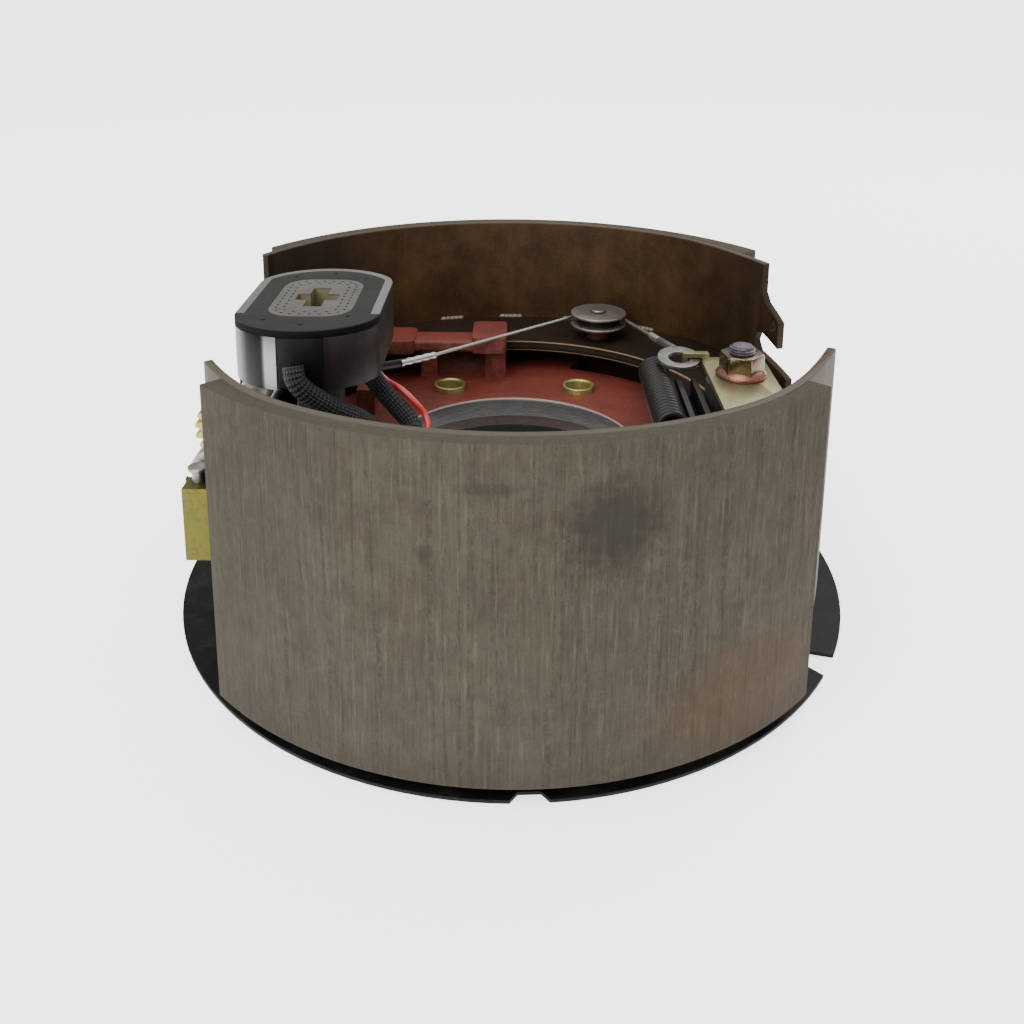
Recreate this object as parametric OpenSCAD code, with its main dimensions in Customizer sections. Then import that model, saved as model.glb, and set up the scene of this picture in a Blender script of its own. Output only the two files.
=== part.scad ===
// Electric drum brake for a heavy trailer axle, lying on its dust shield.
// The spindle axis is Z. The anchor end is at +X and the adjuster end at -X.
// Z = 0 is the underside of the shield's flat rim.

/* [Shoes] */
// Outer radius of the brake lining
drum_r = 155; // [152:0.5:160]
// Thickness of the lining
lining_t = 10.5; // [8:0.5:11]
// Width of the shoe along the axle
shoe_w = 127; // [120:1:134]
// Height of the lining's lower edge above the shield
lining_z = 8; // [6:0.5:10]
// Thickness of the curved shoe table
table_t = 5; // [4:0.5:6]
// Thickness of one web plate, two of which make a web
web_plate_t = 2.5; // [2:0.1:2.7]
// Height of the web's underside
web_z = 72.5; // [72:0.5:73.5]
// Depth of the web inside the shoe table
web_depth = 39.5; // [35.5:0.5:40.5]

/* [Backing spider] */
// Height of the ring's machined front face
ring_top = 61; // [60:0.5:62]
// Thickness of the cast ring
ring_t = 12; // [10:0.5:14]
// Outer radius of the cast ring
ring_r = 106; // [104:0.5:108]
// Radius of the pilot bore
pilot_r = 58; // [52:0.5:60]
// Depth of the pilot bore's machined land
pilot_land = 9.5; // [6:0.5:10]
// Depth by which the mounting pad stands below the ring
pad_h = 4; // [2:0.5:6]
// Radius of the mounting bolt circle
bolt_pcd_r = 79; // [77:0.5:80]
// Number of mounting bolts
bolts = 7; // [7:1:7]
// Radius of the hole in a mounting sleeve
sleeve_hole_r = 6.35; // [5:0.05:6.5]
// Outer radius of a mounting sleeve
sleeve_r = 8.5; // [8:0.1:9]
// Height of a sleeve above the ring's face
sleeve_proud = 3; // [1:0.5:4]

/* [Dust shield] */
// Radius of the shield's rim
shield_r = 152.25; // [150:0.25:154]
// Thickness of the shield's sheet
sheet_t = 1.5; // [1:0.1:2]
// Inner radius of the flat rim, where the dish begins
dish_r = 119; // [117:0.5:122]
// Width of the dish's flat top, which lies against the spider
flat_w = 14.5; // [13:0.5:16]

/* [Anchor] */
// Distance of the anchor post's axis inside the shoe table
anchor_in = 34.5; // [32.5:0.5:36.5]
// Radius of the anchor post
post_r = 16; // [14:0.5:17]
// Height of the anchor plate's underside
plate_z = 95.5; // [94:0.5:97]
// Thickness of the anchor plate
plate_t = 2.5; // [2:0.5:3]
// Radius of the anchor stud
stud_r = 5.6; // [5:0.1:6]
// Width across the flats of the anchor nut
nut_af = 18; // [16:0.5:19]
// Height of the anchor nut with its flange
nut_h = 11; // [9:0.5:12]

/* [Adjuster] */
// Distance of the adjuster's axis inside the shoe table
adj_in = 13.5; // [12.5:0.5:14.5]
// Outer radius of the star wheel
star_r = 18.5; // [17:0.5:18.5]
// Number of teeth on the star wheel
star_teeth = 22; // [16:1:24]
// Radius of the adjuster screw
screw_r = 5.95; // [5.5:0.05:6.2]
// Outer radius of the adjuster's tubular nut
nut_tube_r = 9.5; // [9:0.5:10]
// Radial running clearance of the turned parts
run_gap = 0.05; // [0.03:0.01:0.08]

/* [Actuating arm and magnet] */
// Distance of the arm's pivot pin from the anchor post, along X
arm_in = 33; // [32:0.5:34]
// Y of the arm's pivot pin
arm_py = -24; // [-25:0.5:-23]
// Radius of the arm's pivot pin
arm_pin_r = 6; // [5:0.5:6.5]
// Height of the arm's underside
arm_z = 66; // [66:0.1:66.4]
// Thickness of the arm
arm_t = 10; // [8:0.5:10]
// Distance of the magnet's centre inside the shoe table
magnet_in = 50; // [48:0.5:52]
// Width of the magnet
magnet_w = 62.5; // [60:0.5:66]
// Length of the magnet
magnet_l = 94; // [90:1:96]
// Height of the magnet's friction face
magnet_top = 134; // [133:0.5:135]
// Depth of the magnet
magnet_h = 27; // [26:0.5:29]
// Radius of the peg that carries the magnet
peg_r = 7; // [6:0.5:7.5]

/* [Cable guide] */
// X of the guide pulley
pulley_x = 47; // [45:0.5:49]
// Distance of the guide pulley inside the shoe table, along Y
pulley_in = 30.5; // [29.5:0.5:31.5]
// Radius of the pulley's flanges
pulley_r = 15.5; // [14:0.5:16]
// Height of the pulley's spacer above the web
spacer_h = 7; // [6:0.5:8]
// Height of the pulley over its flanges
pulley_h = 7.5; // [6.5:0.5:8]
// Diameter of the adjuster cable
cable_d = 2.6; // [2:0.1:3]

/* [Hidden] */
$fn = 96;

// General clearances
gap = 0.3;
fit = 0.05;
eps = 0.01;

// Heights and radii that follow from the driving sizes
lining_top = lining_z + shoe_w;
table_or = drum_r - lining_t;
table_ir = table_or - table_t;
web_r = table_ir - web_depth;
anchor_x = table_ir - anchor_in;
adj_x = table_ir - adj_in;
arm_px = anchor_x - arm_in;
magnet_x = table_ir - magnet_in;
pulley_y = table_ir - pulley_in;
web_t = 2 * web_plate_t;
web_top = web_z + web_t;
web_mid = web_z + web_t / 2;
ring_z = ring_top - ring_t;
pad_z = ring_z - pad_h;
pad_r = 96.5;
bolt_a0 = 90 - 180 / bolts;

// Angles of the shoes' ends, counted from +X
near_lining_a = [-136, -42.5];
near_table_a = [-144, -27];
far_lining_a = [34, 147];
far_table_a = [12, 152];

// Anchor
seat_gap = 0.35;
nose_y = 4.5;
boss_r = 27;
boss_top = 65.5;
plate_top = plate_z + plate_t;
plate_w = 30;
plate_near = 40;
plate_far = 23;
flange_r = nut_af * 0.65;
stud_top = plate_top + nut_h + 3.5;

// Adjuster
adj_near = -46;
adj_far = 40;
slot_w = web_t + 0.7;
fork_l = 8;
star_y = -15;
star_w = 7;
pilot_pin_r = 5;
lever_y = -25;
lever_t = 3;
lever_px = -adj_x - 5;
lever_pz = web_mid - 25;
lever_pin_r = 3;
hook_x = 17 - adj_x;
hook_z = web_mid + 14;
ear_y = lever_y - gap - 3;

// Magnet
magnet_z = magnet_top - magnet_h;
magnet_end_r = 36.5;
case_t = 4;
face_t = 3.5;
core_w = 37;
core_l = 56;
pedestal_r = 11;
pedestal_top = magnet_z - 6;
peg_top = magnet_z + 9;

// Pulley
pulley_z = web_top + spacer_h;
flange_t = 1.5;
groove_r = pulley_r - 4;
cable_r = cable_d / 2;
cable_z = pulley_z + pulley_h / 2;
wrap_r = groove_r + cable_r + 0.15;

// Colours of the finishes
c_lining = [0.42, 0.39, 0.33];
c_table = [0.36, 0.29, 0.21];
c_cast = [0.48, 0.22, 0.19];
c_black = [0.07, 0.07, 0.08];
c_zinc = [0.72, 0.68, 0.45];
c_steel = [0.62, 0.62, 0.6];
c_dark = [0.27, 0.27, 0.28];
c_light = [0.78, 0.77, 0.74];
c_copper = [0.6, 0.3, 0.24];
c_red = [0.75, 0.15, 0.15];

// Plan-view sector of a ring between two angles, which may span up to 180 degrees
module sector(ri, ro, a0, a1) {
    reach = ro * 2.5;
    mid = (a0 + a1) / 2;
    intersection() {
        difference() {
            circle(r = ro, $fn = 180);
            circle(r = ri, $fn = 180);
        }
        polygon([
            [0, 0],
            reach * [cos(a0), sin(a0)],
            reach * [cos((a0 + mid) / 2), sin((a0 + mid) / 2)],
            reach * [cos(mid), sin(mid)],
            reach * [cos((a1 + mid) / 2), sin((a1 + mid) / 2)],
            reach * [cos(a1), sin(a1)]
        ]);
    }
}

// Straight round bar between two points
module bar(a, b, r) {
    d = b - a;
    l = norm(d);
    translate(a)
        rotate([0, acos(d[2] / l), atan2(d[1], d[0])])
            cylinder(r = r, h = l, $fn = 24);
}

// Bent round wire along a short list of points
module wire(pts, r) {
    for (i = [0 : len(pts) - 2]) bar(pts[i], pts[i + 1], r);
    for (i = [1 : len(pts) - 2]) translate(pts[i]) sphere(r = r * 1.06, $fn = 24);
}

// Tube swept along points, as one closed skin with rings square to the run.
// The run never points along the direction called across.
function unit(v) = v / norm(v);
function along(p, i) = unit(p[min(i + 1, len(p) - 1)] - p[max(i - 1, 0)]);
function ring_at(p, i, r, n, across) =
    let (t = along(p, i), u = unit(cross(t, across)), v = cross(t, u))
    [for (k = [0 : n - 1]) p[i] + r * (cos(360 * k / n) * u + sin(360 * k / n) * v)];
module tube(p, r, across, n = 8) {
    m = len(p);
    pts = [for (i = [0 : m - 1]) each ring_at(p, i, r, n, across)];
    sides = [for (i = [0 : m - 2], k = [0 : n - 1], half = [0, 1])
        half == 0 ? [i * n + k, i * n + (k + 1) % n, (i + 1) * n + (k + 1) % n]
            : [i * n + k, (i + 1) * n + (k + 1) % n, (i + 1) * n + k]];
    polyhedron(pts, concat([[for (k = [n - 1 : -1 : 0]) k]], sides,
        [[for (k = [0 : n - 1]) (m - 1) * n + k]]));
}

// Points of a smooth curve through hand-chosen points
function spline(p, steps) = [
    for (i = [0 : len(p) - 2], s = [0 : steps - 1])
        let (t = s / steps, a = p[max(i - 1, 0)], b = p[i], c = p[i + 1], d = p[min(i + 2, len(p) - 1)])
        0.5 * (2 * b + (c - a) * t + (2 * a - 5 * b + 4 * c - d) * t * t
            + (3 * b - a - 3 * c + d) * t * t * t),
    p[len(p) - 1]
];

// Close-wound coil as a turned body whose outside has one round ridge for each turn
module coil(r, wire_d, turns) {
    wall_r = r - wire_d;
    steps = 6;
    rotate_extrude($fn = 32)
        polygon(concat(
            [[wall_r, 0]],
            [for (i = [0 : turns - 1], s = [0 : steps - 1])
                [r - wire_d / 2 + wire_d / 2 * sin(180 * s / steps),
                    wire_d * (i + 0.5 - 0.5 * cos(180 * s / steps))]],
            [[r - wire_d / 2, wire_d * turns], [wall_r, wire_d * turns]]
        ));
}

// Outline of a shoe table's end in the plane across its thickness, as a cutter
module end_cutter(a, pts) {
    rotate([0, 0, a])
        translate([table_ir - 6, 0, 0])
            rotate([90, 0, 90])
                linear_extrude(height = table_t + 12) polygon(pts);
}

// Dished dust shield with its rim notches, screw holes and lead hole
flange_z = ring_z - sheet_t;
dish_top_r = pad_r + 1 + flat_w;
screw_r0 = ring_r - 4.5;
screw_angles = [20, 62, 140, 200, 226, 300];
grommet_r = pad_r + flat_w / 2;
grommet_a = -116;
grommet_neck_r = 4;
grommet_pos = grommet_r * [cos(grommet_a), sin(grommet_a)];
module dust_shield() {
    color(c_black)
    difference() {
        rotate_extrude($fn = 180)
            polygon([
                [dish_r, 0], [shield_r, 0], [shield_r, sheet_t], [dish_r + sheet_t, sheet_t],
                [dish_top_r + sheet_t, ring_z - 2], [dish_top_r - 1, ring_z],
                [pad_r + 1, ring_z], [pad_r + 1, flange_z], [dish_top_r - 2, flange_z],
                [dish_top_r, flange_z - 2]
            ]);
        rim_notch(-87.3, 8, 4);
        rim_notch(-30.6, 6, 15);
        rim_notch(90, 8, 6);
        for (a = screw_angles)
            rotate([0, 0, a]) translate([screw_r0, 0, flange_z - 5]) cylinder(r = 3.3, h = 20);
        translate([grommet_pos[0], grommet_pos[1], flange_z - 5]) cylinder(r = grommet_neck_r + fit, h = 12);
    }
}
module rim_notch(a, half_w, depth) {
    rotate([0, 0, a])
        translate([shield_r - depth, 0, -1])
            linear_extrude(height = sheet_t + 2)
                polygon([[0, -half_w / 2], [depth + 5, -half_w - 3], [depth + 5, half_w + 3], [0, half_w / 2]]);
}

// Cast spider: ring, pilot bore, bolt holes, anchor boss, pads and the two shoe guides
guide_x = [-51, -42, -16, -5];
guide_y = [83, 95.5];
guide_top = web_top + 9;
module spider() {
    color(c_cast)
    difference() {
        union() {
            translate([0, 0, ring_z]) cylinder(r = ring_r, h = ring_t, $fn = 180);
            translate([0, 0, pad_z]) cylinder(r = pad_r, h = pad_h + 1, $fn = 180);
            translate([anchor_x, 0, ring_z]) cylinder(r = boss_r, h = boss_top - ring_z);
            translate([anchor_x - 25, -26, ring_z]) cube([30, 52, ring_t]);
            translate([arm_px, arm_py, ring_z]) cylinder(r = 11, h = arm_z - gap - ring_z);
            far_pads();
            rotate([0, 0, 180]) near_pads();
            shoe_guide(guide_y);
            rotate([0, 0, 180]) shoe_guide(guide_y + [3, 3]);
            translate([-79, 36, ring_z]) cube([9, 24, 25]);
        }
        translate([0, 0, pad_z - 1]) cylinder(r = pilot_r, h = 30, $fn = 180);
        translate([0, 0, pad_z - 1]) cylinder(r = pilot_r + 3, h = ring_top - pilot_land - pad_z + 1, $fn = 180);
        translate([0, 0, ring_top - 1]) cylinder(r1 = pilot_r, r2 = pilot_r + 1.2, h = 1.2, $fn = 180);
        for (i = [0 : bolts - 1])
            rotate([0, 0, bolt_a0 + i * 360 / bolts])
                translate([bolt_pcd_r, 0, pad_z - 1]) cylinder(r = sleeve_r + fit, h = 30);
        translate([anchor_x, 0, ring_z - 1]) cylinder(r = 10 + fit, h = 40);
        translate([arm_px, arm_py, ring_z - 1]) cylinder(r = arm_pin_r + fit, h = 40);
        translate([arm_px, arm_py, pad_z - 1]) cylinder(r = 9, h = ring_z - pad_z + 1);
        for (a = screw_angles)
            rotate([0, 0, a]) translate([screw_r0, 0, ring_z - 1]) cylinder(r = 3 + fit, h = 10);
        translate([grommet_pos[0], grommet_pos[1], ring_z - 1]) cylinder(r = 7, h = 30);
        translate([clip_pos[0] + 1, clip_pos[1], ring_top - 7]) cylinder(r = 2 + fit, h = 12);
    }
}
module far_pads() {
    translate([0, 0, ring_z]) linear_extrude(height = ring_t) {
        sector(pilot_r + 5, table_ir - 15.5, 73, 90);
        sector(pilot_r + 5, table_ir - 25.5, 90, 128);
    }
}
module near_pads() {
    translate([0, 0, ring_z]) linear_extrude(height = ring_t) {
        sector(pilot_r + 5, table_ir - 15.5, 90, 100);
        sector(pilot_r + 5, table_ir - 25.5, 92, 122);
    }
}
// Two posts with flared feet, joined by a rounded rail over a scooped wall. A finger at each
// end of the rail holds the web down, and two low pads carry it.
foot_flare = 2.6;
scoop_r = 10.5;
rail_z = web_top + gap;
module shoe_guide(y) {
    foot = ring_top - 1;
    back = y[1] + 1.6;
    guide_post(guide_x[0], guide_x[1], y[0], back, foot);
    guide_post(guide_x[2], guide_x[3], y[0], back, foot);
    difference() {
        translate([guide_x[0] + 1, y[0] - 2, foot]) cube([guide_x[3] - guide_x[0] - 2, back - y[0] + 2, rail_z - foot + 1]);
        translate([guide_x[0] - 1, y[0] + 1.5, ring_top + scoop_r + 0.4]) rotate([0, 90, 0]) cylinder(r = scoop_r, h = 60);
        translate([guide_x[0] - 1, y[0] - 9, ring_top + 0.4]) cube([60, scoop_r, 30]);
    }
    translate([guide_x[0] - 15, y[0] - 2.5, rail_z]) rotate([90, 0, 90])
        linear_extrude(height = guide_x[3] - guide_x[0] + 14) rounded_square(back - y[0] + 2.5, 6.5, 2);
    translate([guide_x[2] - 7, y[0] - 4, rail_z])
        linear_extrude(height = guide_top - rail_z) rounded_square(guide_x[3] - guide_x[2] + 7.5, 29, 3);
    translate([guide_x[0] - 19, y[0] - 6, rail_z])
        linear_extrude(height = guide_top - rail_z - 1.5) rounded_square(16, 24, 4);
    translate([guide_x[0], back + 1, foot]) cube([14, 10, web_z - gap - foot]);
    translate([guide_x[2] - 2, back + 1, foot]) cube([13, 12, web_z - gap - foot]);
}
module guide_post(x0, x1, y0, y1, foot) {
    translate([0, y1, 0]) rotate([90, 0, 0]) linear_extrude(height = y1 - y0) {
        translate([x0, foot]) square([x1 - x0, rail_z + 1 - foot]);
        difference() {
            translate([x0 - foot_flare, foot]) square([x1 - x0 + 2 * foot_flare, ring_top + foot_flare - foot]);
            for (x = [x0 - foot_flare, x1 + foot_flare])
                translate([x, ring_top + foot_flare + 0.4]) circle(r = foot_flare, $fn = 32);
        }
    }
}
module rounded_square(w, d, r) {
    translate([r, 0]) square([w - 2 * r, d]);
    translate([0, r]) square([w, d - 2 * r]);
    for (x = [r, w - r], y = [r, d - r]) translate([x, y]) circle(r = r, $fn = 32);
}

module mounting_sleeves() {
    color(c_zinc)
    for (i = [0 : bolts - 1])
        rotate([0, 0, bolt_a0 + i * 360 / bolts])
            translate([bolt_pcd_r, 0, pad_z])
                difference() {
                    cylinder(r = sleeve_r, h = ring_top + sleeve_proud - pad_z);
                    translate([0, 0, -1]) cylinder(r = sleeve_hole_r, h = 40);
                    translate([0, 0, ring_top + sleeve_proud - pad_z - 0.8])
                        cylinder(r1 = sleeve_hole_r, r2 = sleeve_hole_r + 0.9, h = 0.9);
                }
}

module shield_screws() {
    color(c_dark)
    for (a = screw_angles)
        rotate([0, 0, a])
            translate([screw_r0, 0, flange_z]) {
                translate([0, 0, -3.5]) cylinder(r = 4.6, h = 3.5, $fn = 6);
                cylinder(r = 3, h = 9);
            }
}

// Forged anchor post with its shank, shoulder and threaded stud
module anchor_post() {
    color(c_dark)
    translate([anchor_x, 0, 0]) {
        translate([0, 0, ring_z]) cylinder(r = 10, h = boss_top - ring_z + 1);
        translate([0, 0, boss_top]) cylinder(r = post_r, h = plate_z - boss_top);
        translate([0, 0, plate_z - 1]) cylinder(r = stud_r, h = stud_top - plate_z);
        translate([0, 0, stud_top - 1]) cylinder(r1 = stud_r, r2 = stud_r - 1, h = 1);
    }
}

eye_pos = [anchor_x - 25.5, 22];
tab_w = 4;
module anchor_plate() {
    x0 = anchor_x - plate_w / 2;
    color(c_zinc) {
        difference() {
            translate([x0, -plate_near, plate_z]) cube([plate_w, plate_near + plate_far, plate_t]);
            translate([anchor_x, 0, plate_z - 1]) cylinder(r = stud_r + fit, h = 10);
        }
        translate([x0 + 0.5, plate_far - tab_w, plate_top - eps]) cube([3, tab_w, 3]);
        translate([x0 - 7, plate_far - tab_w, plate_top + 1]) cube([8, tab_w, 2]);
        translate([x0 - 8.8, plate_far - tab_w, plate_top - 3]) cube([2, tab_w, 6]);
    }
}

module anchor_nut() {
    color(c_zinc)
    translate([anchor_x, 0, plate_top])
        difference() {
            union() {
                cylinder(r = flange_r, h = 2);
                translate([0, 0, 2]) cylinder(r1 = flange_r - 0.5, r2 = nut_af / 2, h = 1.6);
                rotate([0, 0, 12]) cylinder(r = nut_af / 2 / cos(30), h = nut_h, $fn = 6);
            }
            translate([0, 0, -1]) cylinder(r = stud_r + fit, h = nut_h + 2);
        }
}

module arm_pin() {
    color(c_steel)
    translate([arm_px, arm_py, ring_z]) {
        translate([0, 0, -3]) cylinder(r = 8.5, h = 3);
        translate([0, 0, -1]) cylinder(r = arm_pin_r, h = arm_z + arm_t - 4 - ring_z + 1);
        translate([0, 0, arm_z + arm_t - ring_z - 5]) cylinder(r = arm_pin_r - 1.5, h = 7.4);
    }
}

module arm_retainer() {
    color(c_dark)
    translate([arm_px, arm_py, arm_z + arm_t + gap])
        difference() {
            cylinder(r = 8, h = 1.5);
            translate([0, 0, -1]) cylinder(r = arm_pin_r - 1.5 + fit, h = 4);
        }
}

// Lining blocks and shoe tables
module lining(a) {
    color(c_lining)
    translate([0, 0, lining_z])
        linear_extrude(height = shoe_w) sector(table_or, drum_r, a[0], a[1]);
}
module near_lining() {
    difference() {
        lining(near_lining_a);
        for (a = [near_lining_a[0] - 0.6, near_lining_a[1] + 0.6])
            color(c_lining) rotate([0, 0, a]) translate([drum_r + 1.5, 0, lining_z - 1])
                rotate([0, 0, 45]) translate([-2, -2, 0]) cube([4, 4, shoe_w + 2]);
    }
}
module far_lining() {
    lining(far_lining_a);
}
corner_turn = 3.5;
corner_s = table_or * corner_turn * PI / 180 + 0.2;
module near_table() {
    color(c_table)
    difference() {
        translate([0, 0, lining_z])
            linear_extrude(height = shoe_w) sector(table_ir, table_or, near_table_a[0], near_table_a[1]);
        rounded_corner(near_table_a[1] - corner_turn, corner_s, 28);
        rounded_corner(near_table_a[0] + corner_turn, -corner_s, 14);
    }
}
// Cutter that rounds a table's lower corner; s is the end's place along the arc from angle a
module rounded_corner(a, s, r) {
    side = sign(s);
    rotate([0, 0, a])
        translate([table_ir - 6, 0, 0])
            rotate([90, 0, 90])
                linear_extrude(height = table_t + 12)
                    difference() {
                        translate([side > 0 ? s - r : s - 5, lining_z - 5]) square([r + 5, r + 5]);
                        translate([s - side * r, lining_z + r - 0.1]) circle(r = r);
                    }
}
// Half of the far table's anchor end above the web's middle: place along the arc, height above the middle
far_end = [[12.4, 70], [12.4, 45], [9, 40], [-3.5, 33], [-3.5, 19.5], [9.9, 24], [14, 23], [16, 18],
    [13, 13], [-9, 8], [-14, 7]];
module far_table() {
    top = [for (p = far_end) [p[0], web_mid + p[1]]];
    low = [for (i = [len(far_end) - 1 : -1 : 0]) [far_end[i][0], web_mid - far_end[i][1]]];
    color(c_table)
    difference() {
        translate([0, 0, lining_z])
            linear_extrude(height = shoe_w) sector(table_ir, table_or, far_table_a[0], far_table_a[1]);
        end_cutter(20, concat([[-45, web_mid + 70]], top, low, [[-45, web_mid - 70]]));
        for (side = [1, -1])
            rotate([0, 0, 20])
                translate([table_ir - 5, 1.5, web_mid + side * 30])
                    rotate([0, 90, 0]) cylinder(r = 2.6, h = 20);
    }
}

// Web outlines in plan. Each web is two plates, the upper one set back a little at its inner edge.
relief_y = 98.5;
spring_hole = [anchor_x - 31, 64];
adj_spring_hole = [27 - adj_x, 78];
module web_outline(set_back) {
    a = anchor_x;
    b = -adj_x;
    difference() {
        union() {
            sector(web_r + set_back, table_ir, 46, 148);
            difference() {
                inside_table([[a - 37, 72], [a - 26, 42], [a - 20.5, 24], [a - 14, 12], [a - 14, nose_y], [a + 19, nose_y],
                    [a + 25, 20], [a + 31, 29], [a + 28, 40], [a + 5, 85], [a - 9, 101]]);
                translate([anchor_x, 0]) circle(r = post_r + seat_gap);
            }
            inside_table([[b - 9, adj_far + gap], [b + 9, adj_far + gap], [b + 20, 50], [b + 36, 66], [b + 46, 80],
                [b + 16, 84], [b + 4, 66], [b - 5, 55]]);
        }
        translate([guide_x[0] - 20, 60]) square([guide_x[3] - guide_x[0] + 22, relief_y - 60]);
        translate(spring_hole) circle(r = 2.2);
        translate(adj_spring_hole) circle(r = 2);
    }
}
module inside_table(pts) {
    intersection() {
        polygon(pts);
        circle(r = table_ir - 0.02, $fn = 180);
    }
}
module near_outline(set_back) {
    a = anchor_x;
    b = -adj_x;
    difference() {
        union() {
            sector(web_r + set_back, table_ir, -148, -46);
            difference() {
                inside_table([[a - 37, -72], [a - 26, -46], [a - 15, -28], [a - 10, -18], [a - 10, -nose_y],
                    [a + 19, -nose_y], [a + 25, -20], [a + 26, -48], [a + 5, -85], [a - 9, -101]]);
                translate([anchor_x, 0]) circle(r = post_r + seat_gap);
            }
            inside_table([[b - 9, adj_near - gap], [b + 9, adj_near - gap], [b + 20, -56], [b + 38, -64], [b + 46, -80],
                [b + 26, -96], [b + 14, -82], [b + 2, -66]]);
        }
        translate([-guide_x[3] - 2, -relief_y - 3]) square([guide_x[3] - guide_x[0] + 22, 40]);
        translate([spring_hole[0], -spring_hole[1]]) circle(r = 2.2);
        translate([adj_spring_hole[0], -adj_spring_hole[1]]) circle(r = 2);
        for (p = rivet_pos) translate(p) circle(r = 2.5 + fit);
    }
}
module near_web() {
    color(c_table) {
        translate([0, 0, web_z]) linear_extrude(height = web_plate_t) near_outline(0);
        translate([0, 0, web_z + web_plate_t]) linear_extrude(height = web_plate_t) near_outline(0.6);
    }
}
module far_web() {
    color(c_table)
    difference() {
        union() {
            translate([0, 0, web_z]) linear_extrude(height = web_plate_t) web_outline(0);
            translate([0, 0, web_z + web_plate_t]) linear_extrude(height = web_plate_t) web_outline(0.6);
        }
        translate([pulley_x, pulley_y, web_z - 1]) cylinder(r = 3 + fit, h = 10);
    }
}

// Cable guide pulley on its rivet and copper-coloured spacer
module pulley() {
    color(c_steel)
    translate([pulley_x, pulley_y, pulley_z + gap])
        difference() {
            union() {
                cylinder(r = pulley_r, h = flange_t);
                cylinder(r = groove_r, h = pulley_h);
                translate([0, 0, pulley_h - flange_t]) cylinder(r = pulley_r, h = flange_t);
            }
            translate([0, 0, -1]) cylinder(r = 3 + run_gap, h = 12);
        }
}
module pulley_rivet() {
    color(c_steel)
    translate([pulley_x, pulley_y, 0]) {
        translate([0, 0, web_z - 2]) cylinder(r = 5, h = 2);
        translate([0, 0, web_z - 1]) cylinder(r = 3, h = pulley_z + pulley_h + 2 * gap - web_z + 1.5);
        translate([0, 0, pulley_z + pulley_h + 2 * gap]) cylinder(r = 4.2, h = 1.4);
    }
}
module pulley_spacer() {
    color(c_copper)
    translate([pulley_x, pulley_y, web_top])
        difference() {
            cylinder(r = 6.5, h = spacer_h);
            translate([0, 0, -1]) cylinder(r = 3 + fit, h = 12);
        }
}

// Adjuster cable, from the eye round the pulley to the hook
wrap_in = 32;
wrap_out = 158;
function on_wrap(a) = [pulley_x + wrap_r * cos(a), pulley_y + wrap_r * sin(a), cable_z];
run_in = [pulley_r * sin(wrap_in), -pulley_r * cos(wrap_in), 0.3];
crimp_a = [anchor_x - 33, 69, plate_z - 3];
crimp_b = [anchor_x - 28, 42, plate_z + 1];
hook_a = [-56, 47, web_top + 10];
hook_b = [-40, 57.5, web_top + 10];
module adjuster_cable() {
    n = 12;
    arc = [for (i = [0 : n]) on_wrap(wrap_in + (wrap_out - wrap_in) * i / n)];
    color(c_steel) tube(concat([crimp_a, on_wrap(wrap_in) + run_in], arc, [hook_b]), cable_r - 0.05, [0.1, 0.2, 1]);
}
module cable_crimp() {
    color(c_light) {
        bar(crimp_a + 0.2 * unit(crimp_b - crimp_a), crimp_a + 14 * unit(crimp_b - crimp_a), 2.6);
        bar(hook_b - 0.2 * unit(hook_b - hook_a), hook_a, 2.6);
    }
}
module cable_eye() {
    color(c_light)
    difference() {
        union() {
            translate([eye_pos[0], eye_pos[1], plate_top - 1.4])
                rotate([9, 0, 0]) cylinder(r = 10.3, h = 2);
            bar(crimp_a + 14.3 * unit(crimp_b - crimp_a), [eye_pos[0] - 0.9, eye_pos[1] + 8.5, plate_top + 0.9], 2);
        }
        translate([eye_pos[0], eye_pos[1], plate_top - 6])
            rotate([9, 0, 0]) cylinder(r = 5.3, h = 20);
    }
}
// Long hook of bent rod between the cable and the adjuster lever
module cable_hook() {
    d = unit([hook_x - hook_a[0], 7 - hook_a[1], hook_z - hook_a[2]]);
    color(c_dark)
        wire([hook_a + 0.3 * d, [hook_x, 7, hook_z], [hook_x, lever_y - 3, hook_z]], 1.5);
}

// Springs
spring_x = anchor_x - 36;
spring_z = 86.5;
spring_r = 7.7;
spring_wire = 2.4;
spring_turns = 35;
module retractor_spring() {
    half = spring_turns * spring_wire / 2;
    color(c_dark) {
        translate([spring_x, half, spring_z]) rotate([90, 0, 0]) coil(spring_r, spring_wire, spring_turns);
        for (s = [1, -1]) {
            translate([spring_x, s * (half - 1), spring_z])
                rotate([90, 0, 0]) cylinder(r = 5.8, h = 1.6, center = true);
            wire([[spring_x, s * (half - 1), spring_z], [spring_hole[0], s * spring_hole[1], spring_z],
                [spring_hole[0], s * spring_hole[1], web_z - 2]], 1.2);
        }
    }
}
module adjuster_spring() {
    turns = 25;
    d = 1.6;
    r = 3.6;
    x = adj_spring_hole[0];
    y0 = 22;
    y1 = y0 + turns * d;
    z = ring_top + gap + r;
    color(c_dark) {
        translate([x, y1, z]) rotate([90, 0, 0]) coil(r, d, turns);
        for (y = [y0 + 0.8, y1 - 0.8])
            translate([x, y, z]) rotate([90, 0, 0]) cylinder(r = 2.4, h = 1.2, center = true);
        wire([[x, y0 + 0.8, z], [x, -adj_spring_hole[1], z], [x, -adj_spring_hole[1], web_top + 2]], 0.8);
        wire([[x, y1 - 0.8, z], [x, adj_spring_hole[1], z], [x, adj_spring_hole[1], web_top + 2]], 0.8);
    }
}

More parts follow.
